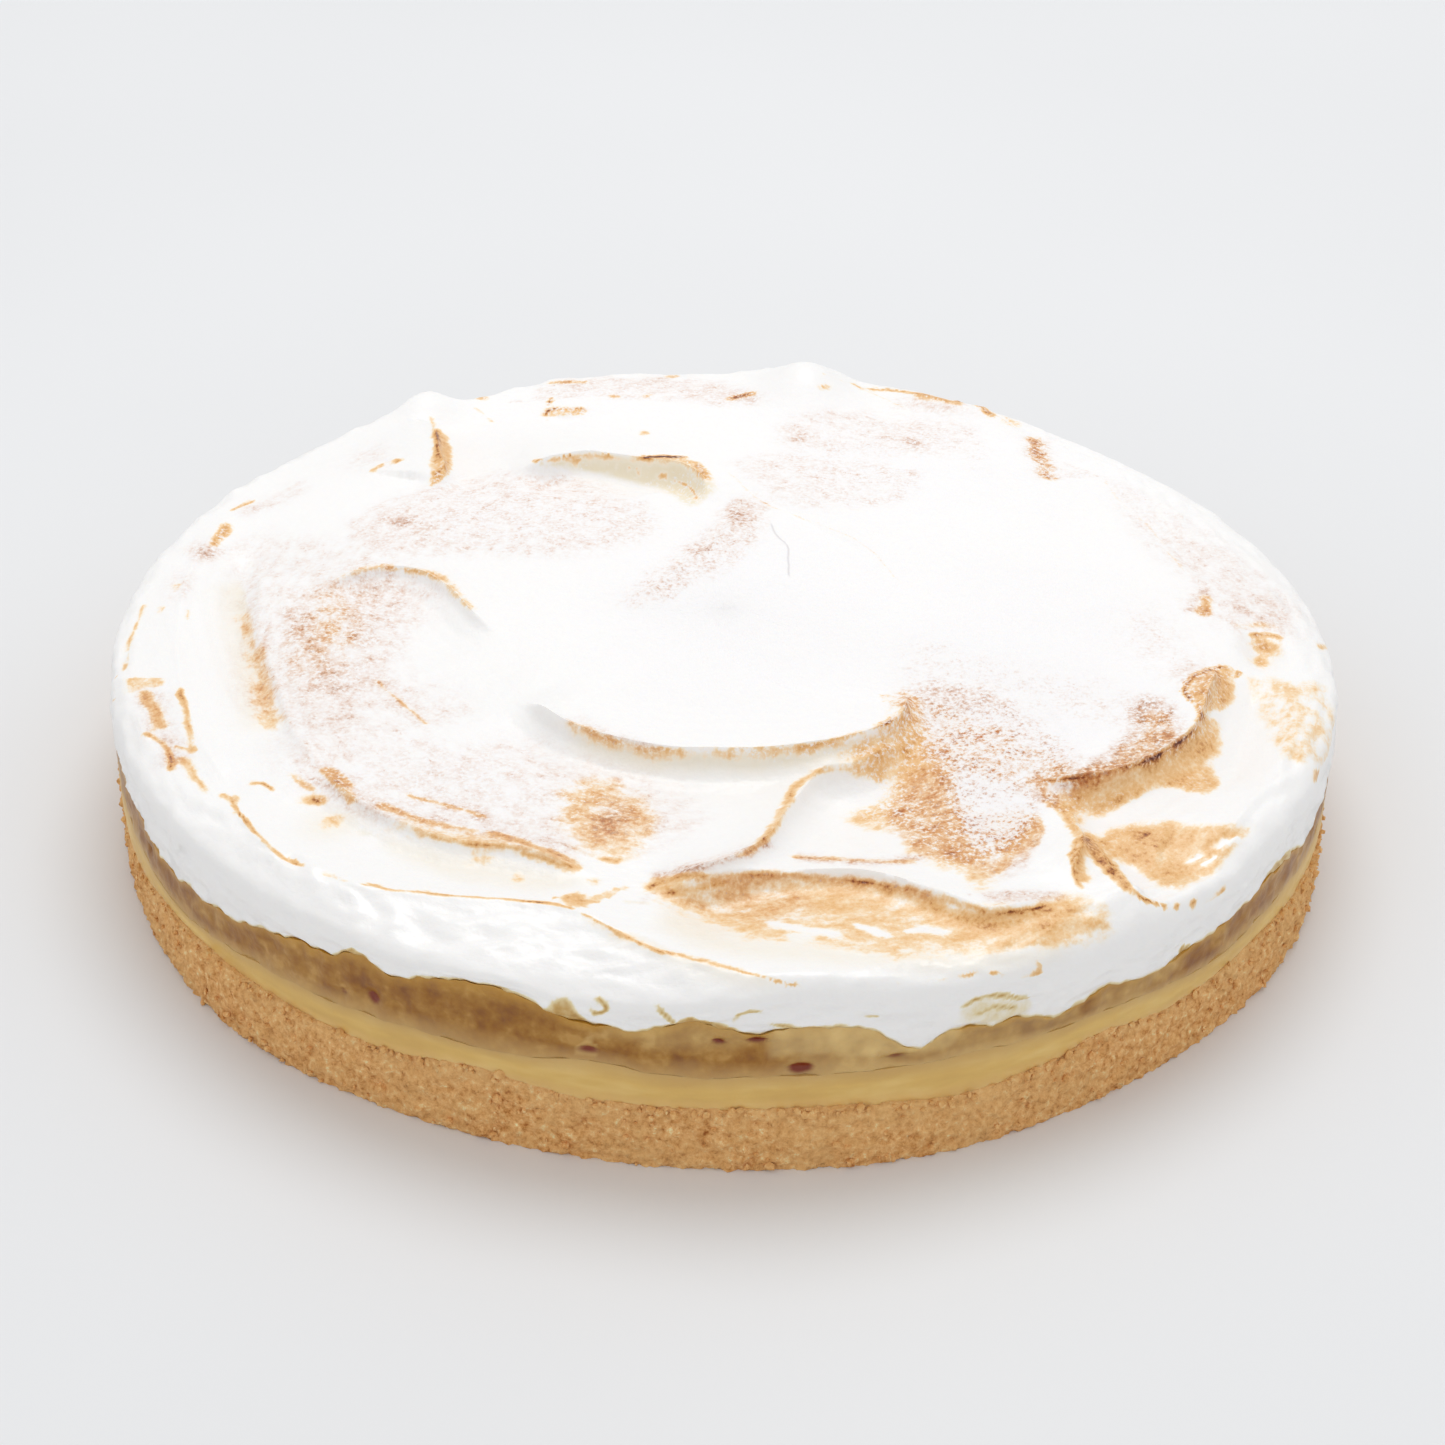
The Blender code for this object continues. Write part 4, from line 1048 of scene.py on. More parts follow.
# ---------------------------------------------------------------------------------------------
# Meshes
# ---------------------------------------------------------------------------------------------
def ring(radii, heights, angles):
    """The points of one ring round the tart."""
    turn = np.radians(angles)
    radii = np.broadcast_to(radii, angles.shape)
    heights = np.broadcast_to(heights, angles.shape)
    return np.column_stack([radii * np.cos(turn), radii * np.sin(turn), heights])


def column_angles(count):
    return np.arange(count) * 360.0 / count


def strip_faces(lower, upper, count):
    """Quads between two rings, each given by the number of its first point."""
    here = np.arange(count)
    there = (here + 1) % count
    return np.column_stack([lower + here, lower + there, upper + there, upper + here]).tolist()


def fan_faces(first, count, middle, upwards):
    """Triangles from a ring to its middle point."""
    here = np.arange(count)
    there = (here + 1) % count
    corners = (here, there) if upwards else (there, here)
    return [[first + a, first + b, middle] for a, b in zip(*corners)]


def add_numbers(data, title, values):
    """One number for each point of a mesh, which its material reads under this title."""
    layer = data.attributes.new(name=title, type="FLOAT", domain="POINT")
    layer.data.foreach_set("value", np.asarray(values, dtype=np.float32))


def add_piece(name, points, faces, attributes, sharp_angle):
    """A mesh object with a number for each point under each attribute's name."""
    data = bpy.data.meshes.new(name)
    data.from_pydata(points.tolist(), [], faces)
    data.shade_smooth()
    data.set_sharp_from_angle(angle=sharp_angle)
    for title, values in attributes.items():
        add_numbers(data, title, values)
    piece = bpy.data.objects.new(name, data)
    bpy.context.scene.collection.objects.link(piece)
    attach(piece, BODY)
    return piece


def turned_body(name, rings, attributes, sharp_angle):
    """A closed body from rings, bottom first, closed by a middle point below and above."""
    count = len(rings[0])
    points = np.vstack(rings)
    below = points[:count].mean(axis=0)
    above = points[-count:].mean(axis=0)
    total = len(points)
    faces = []
    for row in range(len(rings) - 1):
        faces += strip_faces(row * count, (row + 1) * count, count)
    faces += fan_faces(0, count, total, upwards=False)
    faces += fan_faces(total - count, count, total + 1, upwards=True)
    points = np.vstack([points, below, above])
    padded = {title: np.append(values, [0.0, 0.0]) for title, values in attributes.items()}
    return add_piece(name, points, faces, padded, sharp_angle)


def seam(angles, mean, humps, kinds):
    """A seam between two layers at the wall: the solids' wave, and small unevenness on it."""
    round_rim = ring(TART_RADIUS, mean, angles)
    return waves(angles, mean, humps) + unevenness(round_rim, kinds, layer=mean / MM)


def crust_seam(angles):
    return seam(angles, CRUST_HEIGHT, CRUST_TOP_WAVES, CRUST_SEAM_UNEVENNESS)


def custard_seam(angles):
    return seam(angles, CUSTARD_TOP, CUSTARD_TOP_WAVES, CUSTARD_SEAM_UNEVENNESS)


def compote_seam(angles):
    return seam(angles, COMPOTE_TOP, COMPOTE_TOP_WAVES, COMPOTE_SEAM_UNEVENNESS)


def crumbly(points):
    """Crumb relief: lumps of several sizes, with sharp pits between them."""
    lumps = 0.5 * uneven(points, COARSE_CRUMBS) + 0.7 * uneven(points, FINE_CRUMBS, layer=5.0)
    pits = np.abs(uneven(points, CRUMB_PITS, layer=9.0))
    return lumps + 0.9 * pits - 0.3


def crust_profile(share):
    """How fully the crust's side bulges at this share of its height: less at its two rounded edges."""
    return 1.0 - 0.55 * share**6 - 0.25 * (1.0 - share) ** 8


def make_crust():
    angles = column_angles(WALL_COLUMNS)
    top = crust_seam(angles)
    bulges = waves(angles, 0.0, CRUST_BULGES)
    rings = [ring((TART_RADIUS + bulges) * FILLING_RING, 0.0, angles)]
    levels = []
    for share in np.linspace(0.0, 1.0, CRUST_ROWS):
        profile = crust_profile(share)
        bulge = bulges * profile
        points = ring(TART_RADIUS + bulge, top * share, angles)
        relief = CRUMB_RELIEF * crumbly(points) - CRUST_ROUNDING * (1.0 - profile)
        rings.append(ring(TART_RADIUS + bulge + relief, top * share, angles))
        levels.append(np.full(WALL_COLUMNS, share))
    rings.append(ring(TART_RADIUS * CRUST_LEDGE, top, angles))
    rings.append(ring(TART_RADIUS * FILLING_RING, CRUST_HEIGHT - HAIR_GAP, angles))
    low = np.zeros(WALL_COLUMNS)
    high = np.ones(WALL_COLUMNS)
    level = np.concatenate([low, *levels, high, high])
    return turned_body("tart_crust", rings, {"level": level}, sharp_angle=math.radians(70))


def make_filling(name, bottom, top, bottom_mean, top_mean, belly, relief):
    """A soft layer between two seams, whose wall bulges by the belly and is a little uneven."""
    angles = column_angles(WALL_COLUMNS)
    rings = [ring(TART_RADIUS * FILLING_RING, bottom_mean + HAIR_GAP, angles)]
    levels = [np.zeros(WALL_COLUMNS)]
    for share in np.linspace(0.0, 1.0, FILLING_ROWS):
        heights = bottom + HAIR_GAP + (top - bottom - 2 * HAIR_GAP) * share
        points = ring(TART_RADIUS, heights, angles)
        bulge = belly * (1.0 - (2.0 * share - 1.0) ** 4)
        rings.append(ring(TART_RADIUS + bulge + relief(points), heights, angles))
        levels.append(np.full(WALL_COLUMNS, share))
    rings.append(ring(TART_RADIUS * FILLING_RING, top_mean - HAIR_GAP, angles))
    levels.append(np.ones(WALL_COLUMNS))
    points = np.vstack(rings)
    attributes = {
        "level": np.concatenate(levels),
        # How deep in a pit each point lies, which also sets the painted shade in the pits.
        "pit": cavities(points),
        "pale": painted(wandered(unrolled(points), PAINT_WANDER), [on_wall(mark) for mark in WATERY]),
    }
    return turned_body(name, rings, attributes, sharp_angle=math.radians(50))


def custard_relief(points):
    """Soft runs, drawn out round the rim, and a fine grain on them."""
    runs = unevenness(points * CUSTARD_STRETCH, [CUSTARD_RUNS])
    return runs + unevenness(points, [CUSTARD_GRAIN])


def cavities(points):
    """How deep in a pit of the compote each point lies, as a share of a full pit."""
    flat = unrolled(points)
    return sum(spot_strength(flat, on_wall(spot)) for spot in CAVITIES)


def compote_relief(points):
    return unevenness(points, COMPOTE_LUMPS) - CAVITY_DEPTH * cavities(points)


def smeared_steps(points, size, layer):
    """Steps with sharp edges, where one smear of the spatula ends on the one before."""
    return 0.5 - 2.0 * np.abs(uneven(points, size, layer))


def wall_relief(points):
    """The meringue's wall: long smeared steps, drawn out round the rim, over soft lumps."""
    stretched = points * WALL_STRETCH
    steps = smeared_steps(stretched, WALL_STEP_SIZE, layer=3.0)
    smears = 0.8 * uneven(stretched, WALL_SWELL_SIZE) + 0.7 * steps
    return WALL_SMEARS * smears + unevenness(points, [WALL_LUMPS])


def shoulder_smears(places):
    """The same smeared steps where the shoulder slopes up to the top."""
    radius = np.hypot(places[:, 0], places[:, 1])
    angles = np.degrees(np.arctan2(places[:, 1], places[:, 0]))
    width = waves(angles, SHOULDER_WIDTH, SHOULDER_WIDTHS)
    share = np.clip((TART_RADIUS - radius) / width, 0.0, 1.0)
    rolled = drawn_out(places)
    steps = smeared_steps(rolled, SHOULDER_STEP_SIZE, layer=21.0)
    smears = 0.8 * steps + 0.5 * uneven(rolled, SHOULDER_STEP_SIZE / 2, layer=31.0)
    return SHOULDER_SMEARS * smears * 4.0 * share * (1.0 - share)


def rim_wobble(angles):
    """How far the rim stands in or out of a true circle, like the edge of something spread by hand."""
    return unevenness(ring(TART_RADIUS, RIM_HEIGHT, angles), RIM_WOBBLE, layer=61.0)


def wall_rings(angles, lip, wall_top):
    """The wall from its thin lower lip up to the shoulder, the lip curling in under itself."""
    rings = []
    for share in np.linspace(0.0, 1.0, MERINGUE_ROWS):
        heights = lip + (wall_top - lip) * share
        points = ring(TART_RADIUS, heights, angles)
        joined = 1.0 - share**4
        curl = LIP_CURL * np.exp(-(heights - lip) / LIP_CURL_HEIGHT)
        outward = (WALL_OVERHANG + wall_relief(points)) * joined + rim_wobble(angles) * share
        rings.append(ring(TART_RADIUS + outward - curl, heights, angles))
    return rings


def clear_of(places, kept, least):
    """The places that lie at least that far from every kept one."""
    tree = KDTree(len(kept))
    for index, place in enumerate(kept):
        tree.insert((place[0], place[1], 0.0), index)
    tree.balance()
    far = [tree.find((x, y, 0.0))[2] >= least for x, y in places]
    return places[np.array(far, dtype=bool)]


def rows_along(curve, offsets, spacing):
    """Rows of points along a curve, one for each offset from it."""
    travelled = np.concatenate([[0.0], np.cumsum(np.hypot(*np.diff(curve, axis=0).T))])
    stops = np.arange(spacing / 2, travelled[-1], spacing)
    middle = np.column_stack([np.interp(stops, travelled, curve[:, axis]) for axis in (0, 1)])
    ahead = np.gradient(middle, axis=0)
    ahead /= np.hypot(ahead[:, 0], ahead[:, 1])[:, None]
    beside = np.column_stack([-ahead[:, 1], ahead[:, 0]])
    return [middle + offset * beside for offset in offsets]


def thin_strokes():
    """The strokes too thin for the open net: they get rows of points of their own."""
    marks = [mark for mark in TOAST_LINES + SCRAPED + CRACKS if isinstance(mark, Stroke)]
    return [stroke for stroke in marks if stroke.left + stroke.right < THIN_STROKE]


def open_places(radius):
    """Points in staggered rows, each moved off its place by up to a seventh of their spacing."""
    row_gap = TOP_SPACING * math.sqrt(0.75)
    rows = int(radius / row_gap)
    places = []
    for row in range(-rows, rows + 1):
        shift = TOP_SPACING / 2 if row % 2 else 0.0
        xs = np.arange(-radius + shift, radius, TOP_SPACING)
        places.append(np.column_stack([xs, np.full(len(xs), row * row_gap)]))
    places = np.vstack(places)
    places += random.uniform(-1, 1, places.shape) * TOP_SPACING / 7
    return places[np.hypot(places[:, 0], places[:, 1]) < radius]


def top_places(angles):
    """The top seen from above: rows along the shoulder, the crests, the thin strokes, the rest."""
    kept = np.vstack([ring(TART_RADIUS - inset, 0.0, angles)[:, :2] for inset in SHOULDER_INSETS])
    rows = []
    for ridge in RIDGES.values():
        rows += rows_along(smooth_curve(ridge.points), CREST_OFFSETS, CREST_SPACING)
    for stroke in thin_strokes():
        width = max((stroke.left + stroke.right) / 2 * MM, 1.1 * LEAST_SPACING)
        drawn = smooth_curve(stroke.points)
        # The mark shows beside its line, by as much as its edges wander there.
        seen = 2 * drawn - wandered(drawn, LINE_WANDER)
        rows += rows_along(off_canvas(seen), (0.0, width, -width), CREST_SPACING)
    for row in rows:
        row = row[np.hypot(row[:, 0], row[:, 1]) < TART_RADIUS - LEAST_SPACING]
        if len(row):
            kept = np.vstack([kept, clear_of(row, kept, LEAST_SPACING)])
    inside = TART_RADIUS - SHOULDER_INSETS[-1] - LEAST_SPACING
    return np.vstack([kept, clear_of(open_places(inside), kept, OPEN_CLEARANCE * TOP_SPACING)])


def make_meringue():
    """The cap: a smeared wall, a turned shoulder and the swirled top as one net of triangles."""
    angles = column_angles(WALL_COLUMNS)
    lip = compote_seam(angles) + HAIR_GAP
    wall_top = wall_tops(angles)
    rings = [ring(TART_RADIUS * FILLING_RING, COMPOTE_TOP + HAIR_GAP, angles)]
    rings += wall_rings(angles, lip, wall_top)
    places = top_places(angles)
    heights, lean = top_surface(places)
    fine = unevenness(flat_points(places), TOP_UNEVENNESS)
    radius = np.maximum(np.hypot(places[:, 0], places[:, 1]), MM)
    wobble = rim_wobble(np.degrees(np.arctan2(places[:, 1], places[:, 0])))
    wobble *= np.exp(-(TART_RADIUS - radius) / RIM_WOBBLE_REACH) / radius
    moved = places * (1.0 + wobble[:, None]) + lean
    top = np.column_stack([moved, heights + fine + shoulder_smears(places)])
    wall_points = np.vstack(rings)
    rim_first = len(wall_points) - WALL_COLUMNS
    middle = np.array([[0.0, 0.0, COMPOTE_TOP + HAIR_GAP]])
    points = np.vstack([wall_points, top, middle])

    faces = []
    for row in range(len(rings) - 1):
        faces += strip_faces(row * WALL_COLUMNS, (row + 1) * WALL_COLUMNS, WALL_COLUMNS)
    faces += fan_faces(0, WALL_COLUMNS, len(points) - 1, upwards=False)
    faces += top_faces(ring(TART_RADIUS, 0.0, angles), places, rim_first)

    is_top = np.arange(len(points)) >= rim_first
    lip_below = np.interp(np.degrees(np.arctan2(points[:, 1], points[:, 0])) % 360.0, angles, lip)
    attributes = {title: marks * is_top for title, marks in paint_top(on_canvas(points)).items()}
    attributes["stain"] = paint_stain(points, lip_below)
    return add_piece("tart_meringue", points, faces, attributes, sharp_angle=math.radians(75))


def top_faces(rim, places, rim_first):
    """The net of triangles over the rim's ring and the places inside it."""
    net = [Vector(point[:2]) for point in rim] + [Vector(place) for place in places]
    rows = range(0, WALL_COLUMNS * (1 + len(SHOULDER_INSETS)), WALL_COLUMNS)
    edges = [(row + here, row + (here + 1) % WALL_COLUMNS) for row in rows for here in range(WALL_COLUMNS)]
    result = delaunay_2d_cdt(net, edges, [], 1, MERGE_DISTANCE)
    sources = result[3]
    return [[rim_first + sources[corner][0] for corner in face] for face in result[2]]


def make_crumbs():
    """Crumbs that cling to the crust's side and lie on its ledge, as one joined piece."""
    mesh = bmesh.new()
    levels = []
    for _ in range(CRUMB_COUNT):
        angle = np.array([random.uniform(-180.0, 180.0)])
        share = random.choice([random.uniform(*SIDE_LEVELS), random.uniform(*LEDGE_LEVELS)])
        size = random.uniform(*CRUMB_RADII) * random.uniform(*CRUMB_SHRINK)
        height = crust_seam(angle)[0] * share
        bulge = waves(angle, 0.0, CRUST_BULGES)[0]
        radius = TART_RADIUS + bulge * crust_profile(share) + size * CRUMB_STAND_OFF
        centre = ring(radius, max(height, size * CRUMB_LEAST_HEIGHT), angle)[0]
        made = bmesh.ops.create_icosphere(mesh, subdivisions=1, radius=size)
        stretch = random.uniform(*CRUMB_STRETCH, 3)
        for vert in made["verts"]:
            bump = random.uniform(*CRUMB_BUMPS)
            vert.co = Vector(np.array(vert.co) * stretch * bump + centre)
            vert.co.z = max(vert.co.z, 0.0)
        levels += [share] * len(made["verts"])
    data = bpy.data.meshes.new("tart_crumbs")
    mesh.to_mesh(data)
    mesh.free()
    add_numbers(data, "level", levels)
    crumbs = bpy.data.objects.new("tart_crumbs", data)
    bpy.context.scene.collection.objects.link(crumbs)
    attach(crumbs, BODY)
    return crumbs


# ---------------------------------------------------------------------------------------------
# Materials
# ---------------------------------------------------------------------------------------------
# How bright a white surface looks on the top and on the wall below, and what its sheen adds.
TOP_LIGHT = 1.0
WALL_LIGHT = 0.72
SHEEN = 0.03
# No surface is darker or brighter than this.
DARKEST = 0.002
BRIGHTEST = 0.96
# The range that noise mostly keeps to.
NOISE_RANGE = (0.3, 0.7)


def linear(channel):
    """An 8-bit colour channel as an amount of light."""
    share = channel / 255.0
    if share <= 0.04045:
        return share / 12.92
    return ((share + 0.055) / 1.055) ** 2.4


def tone(red, green, blue, light=TOP_LIGHT):
    """The surface colour that looks like this 8-bit colour in the scene's light."""
    shares = ((linear(channel) - SHEEN) / light for channel in (red, green, blue))
    return (*(min(max(share, DARKEST), BRIGHTEST) for share in shares), 1.0)


def wall_tone(red, green, blue):
    return tone(red, green, blue, WALL_LIGHT)


class Nodes:
    """A material's node tree, with short ways to add and join its nodes."""

    def __init__(self, name):
        self.material = bpy.data.materials.new(name)
        self.material.use_nodes = True
        self.tree = self.material.node_tree
        self.shader = self.tree.nodes["Principled BSDF"]
        place = self.add("ShaderNodeTexCoord").outputs["Object"]
        scaled = self.add("ShaderNodeVectorMath", operation="SCALE")
        scaled.inputs["Scale"].default_value = 1.0 / MM
        self.tree.links.new(place, scaled.inputs[0])
        self.millimetres = scaled.outputs["Vector"]

    def add(self, kind, **settings):
        made = self.tree.nodes.new(kind)
        for title, value in settings.items():
            setattr(made, title, value)
        return made

    def put(self, socket, value):
        """Joins a socket to a value, or sets it to a plain number or colour."""
        if isinstance(value, bpy.types.NodeSocket):
            self.tree.links.new(value, socket)
        else:
            socket.default_value = value

    def attribute(self, title):
        return self.add("ShaderNodeAttribute", attribute_name=title).outputs["Fac"]

    def vector_math(self, operation, first, second=None, output="Vector"):
        made = self.add("ShaderNodeVectorMath", operation=operation)
        self.put(made.inputs[0], first)
        if second is not None:
            self.put(made.inputs[1], second)
        return made.outputs[output]

    def drawn_out(self):
        """The place rolled on to a narrow drum, on which noise comes out drawn round the tart."""
        flat = self.vector_math("MULTIPLY", self.millimetres, (1.0, 1.0, 0.0))
        drum = TART_RADIUS / MM / DRAWN_OUT
        turned = self.vector_math("MULTIPLY", self.vector_math("NORMALIZE", flat), (drum, drum, 0.0))
        upright = self.add("ShaderNodeCombineXYZ")
        self.put(upright.inputs["Z"], self.vector_math("LENGTH", flat, output="Value"))
        return self.vector_math("ADD", turned, upright.outputs["Vector"])

    def noise(self, size, detail=2.0, roughness=0.5, stretch=None, place=None):
        """Noise with lumps of this many millimetres, about 0 to 1 with its mean at a half."""
        texture = self.add("ShaderNodeTexNoise")
        texture.inputs["Scale"].default_value = 1.0 / size
        texture.inputs["Detail"].default_value = detail
        texture.inputs["Roughness"].default_value = roughness
        place = place or self.millimetres
        if stretch:
            place = self.vector_math("MULTIPLY", place, stretch)
        self.put(texture.inputs["Vector"], place)
        return texture.outputs["Fac"]

    def math(self, operation, first, second, third=None, clamp=False):
        made = self.add("ShaderNodeMath", operation=operation, use_clamp=clamp)
        self.put(made.inputs[0], first)
        self.put(made.inputs[1], second)
        if third is not None:
            self.put(made.inputs[2], third)
        return made.outputs["Value"]

    def spread(self, value, low, high, new_low=0.0, new_high=1.0, smooth=False):
        """The value's range stretched or squeezed on to a new one."""
        made = self.add("ShaderNodeMapRange")
        if smooth:
            made.interpolation_type = "SMOOTHSTEP"
        self.put(made.inputs["Value"], value)
        made.inputs["From Min"].default_value = low
        made.inputs["From Max"].default_value = high
        made.inputs["To Min"].default_value = new_low
        made.inputs["To Max"].default_value = new_high
        return made.outputs["Result"]

    def swing(self, texture, new_low=0.0, new_high=1.0):
        """Noise stretched from the range that it mostly keeps to on to a new one."""
        return self.spread(texture, *NOISE_RANGE, new_low, new_high)

    def ramp(self, value, stops):
        """Colours along a value from 0 to 1."""
        made = self.add("ShaderNodeValToRGB")
        elements = made.color_ramp.elements
        while len(elements) < len(stops):
            elements.new(0.5)
        for element, (place, colour) in zip(elements, stops):
            element.position = place
            element.color = colour
        self.put(made.inputs["Fac"], value)
        return made.outputs["Color"]

    def mix(self, share, first, second, blend="MIX"):
        made = self.add("ShaderNodeMix", data_type="RGBA", blend_type=blend)
        self.put(made.inputs["Factor"], share)
        self.put(made.inputs[6], first)
        self.put(made.inputs[7], second)
        return made.outputs[2]

    def bump(self, height, strength, depth, below=None):
        """Fine relief of this depth in millimetres."""
        made = self.add("ShaderNodeBump")
        self.put(made.inputs["Strength"], strength)
        made.inputs["Distance"].default_value = depth * MM
        self.put(made.inputs["Height"], height)
        if below is not None:
            self.put(made.inputs["Normal"], below)
        return made.outputs["Normal"]

    def finish(self, colour, roughness, normal):
        self.put(self.shader.inputs["Base Color"], colour)
        self.put(self.shader.inputs["Roughness"], roughness)
        self.put(self.shader.inputs["Normal"], normal)
        return self.material

    def see_through(self, weight, radius, scale):
        """Light that enters the surface and comes out close by."""
        self.shader.inputs["Subsurface Weight"].default_value = weight
        self.shader.inputs["Subsurface Radius"].default_value = radius
        self.shader.inputs["Subsurface Scale"].default_value = scale * MM


MERINGUE_WHITE = (0.935, 0.925, 0.915, 1.0)
SUGAR_WHITE = (0.925, 0.912, 0.918, 1.0)
# Each list of tones runs from faint to strong. Toast goes past 1, up to this strength.
TOAST_TOP = 1.3
TOAST_TONES = [
    (0.00, tone(253, 252, 250)),
    (0.14, tone(253, 248, 240)),
    (0.30, tone(252, 236, 213)),
    (0.44, tone(247, 217, 176)),
    (0.60, tone(241, 199, 146)),
    (0.78, tone(233, 184, 124)),
    (0.94, tone(208, 150, 92)),
    (1.08, tone(162, 98, 50)),
    (1.28, tone(90, 48, 26)),
]
# The warm cream colour of the painted shade on the steep faces.
CREAM_SHADE_TONE = tone(243, 232, 208)
VEIL_TONES = [
    (0.00, tone(245, 240, 243)),
    (0.35, tone(240, 223, 216)),
    (0.70, tone(229, 195, 174)),
    (1.00, tone(214, 168, 140)),
]
DOT_TONES = [
    (0.00, tone(234, 224, 224)),
    (0.40, tone(224, 202, 192)),
    (0.75, tone(208, 170, 146)),
    (1.00, tone(176, 126, 94)),
]
# The grey of the painted shade in the crack.
CRACK_SHADE_TONE = tone(196, 190, 194)
STAIN_TONES = [
    (0.00, tone(246, 240, 218)),
    (0.35, tone(232, 214, 168)),
    (0.65, tone(204, 166, 104)),
    (1.00, tone(158, 114, 58)),
]
# Where custard and compote run into each other.
SEAM_TONE = wall_tone(178, 146, 98)
# The painted shade deep in the compote's pits.
PIT_SHADE_TONE = wall_tone(118, 62, 36)
# These run from the darkest patches of each layer to the palest.
CRUST_TONES = [
    (0.00, wall_tone(142, 84, 42)),
    (0.25, wall_tone(182, 130, 79)),
    (0.50, wall_tone(202, 154, 102)),
    (0.75, wall_tone(214, 172, 120)),
    (1.00, wall_tone(240, 212, 166)),
]
CUSTARD_TONES = [
    (0.0, wall_tone(189, 156, 96)),
    (0.5, wall_tone(195, 163, 100)),
    (1.0, wall_tone(201, 172, 112)),
]
COMPOTE_TONES = [
    (0.00, wall_tone(122, 82, 40)),
    (0.40, wall_tone(138, 96, 48)),
    (0.70, wall_tone(150, 110, 58)),
    (1.00, wall_tone(168, 130, 76)),
]
FLOOR_TONES = [
    (0.0, (0.77, 0.78, 0.795, 1.0)),
    (1.0, (0.79, 0.80, 0.815, 1.0)),
]


def meringue_material():
    nodes = Nodes("meringue")
    toast = nodes.attribute("toast")
    speckle = nodes.attribute("speckle")
    sugar = nodes.attribute("sugar")
    stain = nodes.attribute("stain")
    clouds = nodes.noise(4.0, detail=3.0, roughness=0.6)
    streaks = nodes.noise(2.4, detail=3.0, roughness=0.6, place=nodes.drawn_out())
    flecks = nodes.noise(0.9, detail=3.0, roughness=0.65)
    grains = nodes.noise(0.9, detail=3.0, roughness=0.7)
    uneven_spread = nodes.math("ADD", nodes.swing(clouds, -0.14, 0.14), nodes.swing(streaks, -0.18, 0.18))

    def mottled(mark, amount):
        """A mark that takes unevenly, in clouds and streaks, but only where there is some of it."""
        present = nodes.spread(mark, 0.0, 0.3)
        return nodes.math("MULTIPLY_ADD", nodes.math("MULTIPLY", uneven_spread, present), amount, mark)

    # Painted shade: a warm cream tint on the steep faces that the light reaches least.
    cream_shaded = nodes.math("MULTIPLY", nodes.attribute("painted_cream_shade"), nodes.swing(clouds, 0.8, 1.1), clamp=True)
    colour = nodes.mix(cream_shaded, MERINGUE_WHITE, CREAM_SHADE_TONE)

    # What the torch browned: orange in the open, darkest on the crests.
    taken = nodes.math("MULTIPLY", mottled(toast, 1.0), nodes.swing(flecks, 0.76, 1.20))
    stops = [(level / TOAST_TOP, tint) for level, tint in TOAST_TONES]
    brown = nodes.ramp(nodes.math("DIVIDE", taken, TOAST_TOP), stops)
    colour = nodes.mix(nodes.spread(taken, 0.02, 0.42, smooth=True), colour, brown)

    # A mottled veil of browned sugar, and fine dots in it.
    density = nodes.math("MULTIPLY", mottled(speckle, 1.3), 1.0, clamp=True)
    veil = nodes.math("MULTIPLY", density, nodes.spread(flecks, 0.32, 0.68, 0.12, 1.15), clamp=True)
    colour = nodes.mix(veil, colour, nodes.ramp(density, VEIL_TONES), blend="MULTIPLY")
    least = nodes.math("MULTIPLY_ADD", density, -0.26, 0.75)
    over = nodes.math("SUBTRACT", nodes.noise(1.0, detail=3.0, roughness=0.65), least)
    dots = nodes.math("MULTIPLY", nodes.math("MULTIPLY", over, 8.0, clamp=True), 0.7)
    colour = nodes.mix(dots, colour, nodes.ramp(density, DOT_TONES))

    # White sugar lies over it as fine grains, thick enough in places to hide it.
    dusted = nodes.math("MULTIPLY", sugar, nodes.spread(speckle, 0.0, 1.0, 1.0, 0.5))
    thinner = nodes.math("SUBTRACT", dusted, nodes.spread(grains, 0.32, 0.68))
    cover = nodes.math("MULTIPLY_ADD", thinner, 2.2, 0.5, clamp=True)
    cover = nodes.math("MULTIPLY", cover, nodes.spread(sugar, 0.03, 0.25), clamp=True)
    colour = nodes.mix(nodes.math("MULTIPLY", cover, 0.85), colour, SUGAR_WHITE)

    # Fruit on the wall.
    stained = nodes.math("MULTIPLY", stain, nodes.swing(nodes.noise(1.6), 0.8, 1.2))
    shown = nodes.spread(stained, 0.04, 0.32, smooth=True)
    colour = nodes.mix(shown, colour, nodes.ramp(stained, STAIN_TONES))

    # Painted shade: a thin grey line along the crack near the middle.
    colour = nodes.mix(nodes.math("MULTIPLY", nodes.attribute("crack_shade"), 0.5), colour, CRACK_SHADE_TONE)

    # Relief too fine for the mesh: blisters where it is toasted, grains where it is sugared.
    roughness = nodes.spread(sugar, 0.0, 0.6, 0.32, 0.85)
    blistered = nodes.spread(toast, 0.1, 0.8, 0.0, 0.6)
    sugared = nodes.spread(sugar, 0.1, 0.9, 0.05, 0.6)
    soft = nodes.bump(nodes.noise(2.6, detail=3.0), strength=0.5, depth=0.4)
    streaked = nodes.bump(streaks, strength=0.4, depth=0.45, below=soft)
    blisters = nodes.bump(flecks, strength=blistered, depth=0.3, below=streaked)
    grainy = nodes.bump(grains, strength=sugared, depth=0.3, below=blisters)
    nodes.see_through(weight=0.12, radius=(1.0, 0.85, 0.7), scale=1.6)
    return nodes.finish(colour, roughness, grainy)


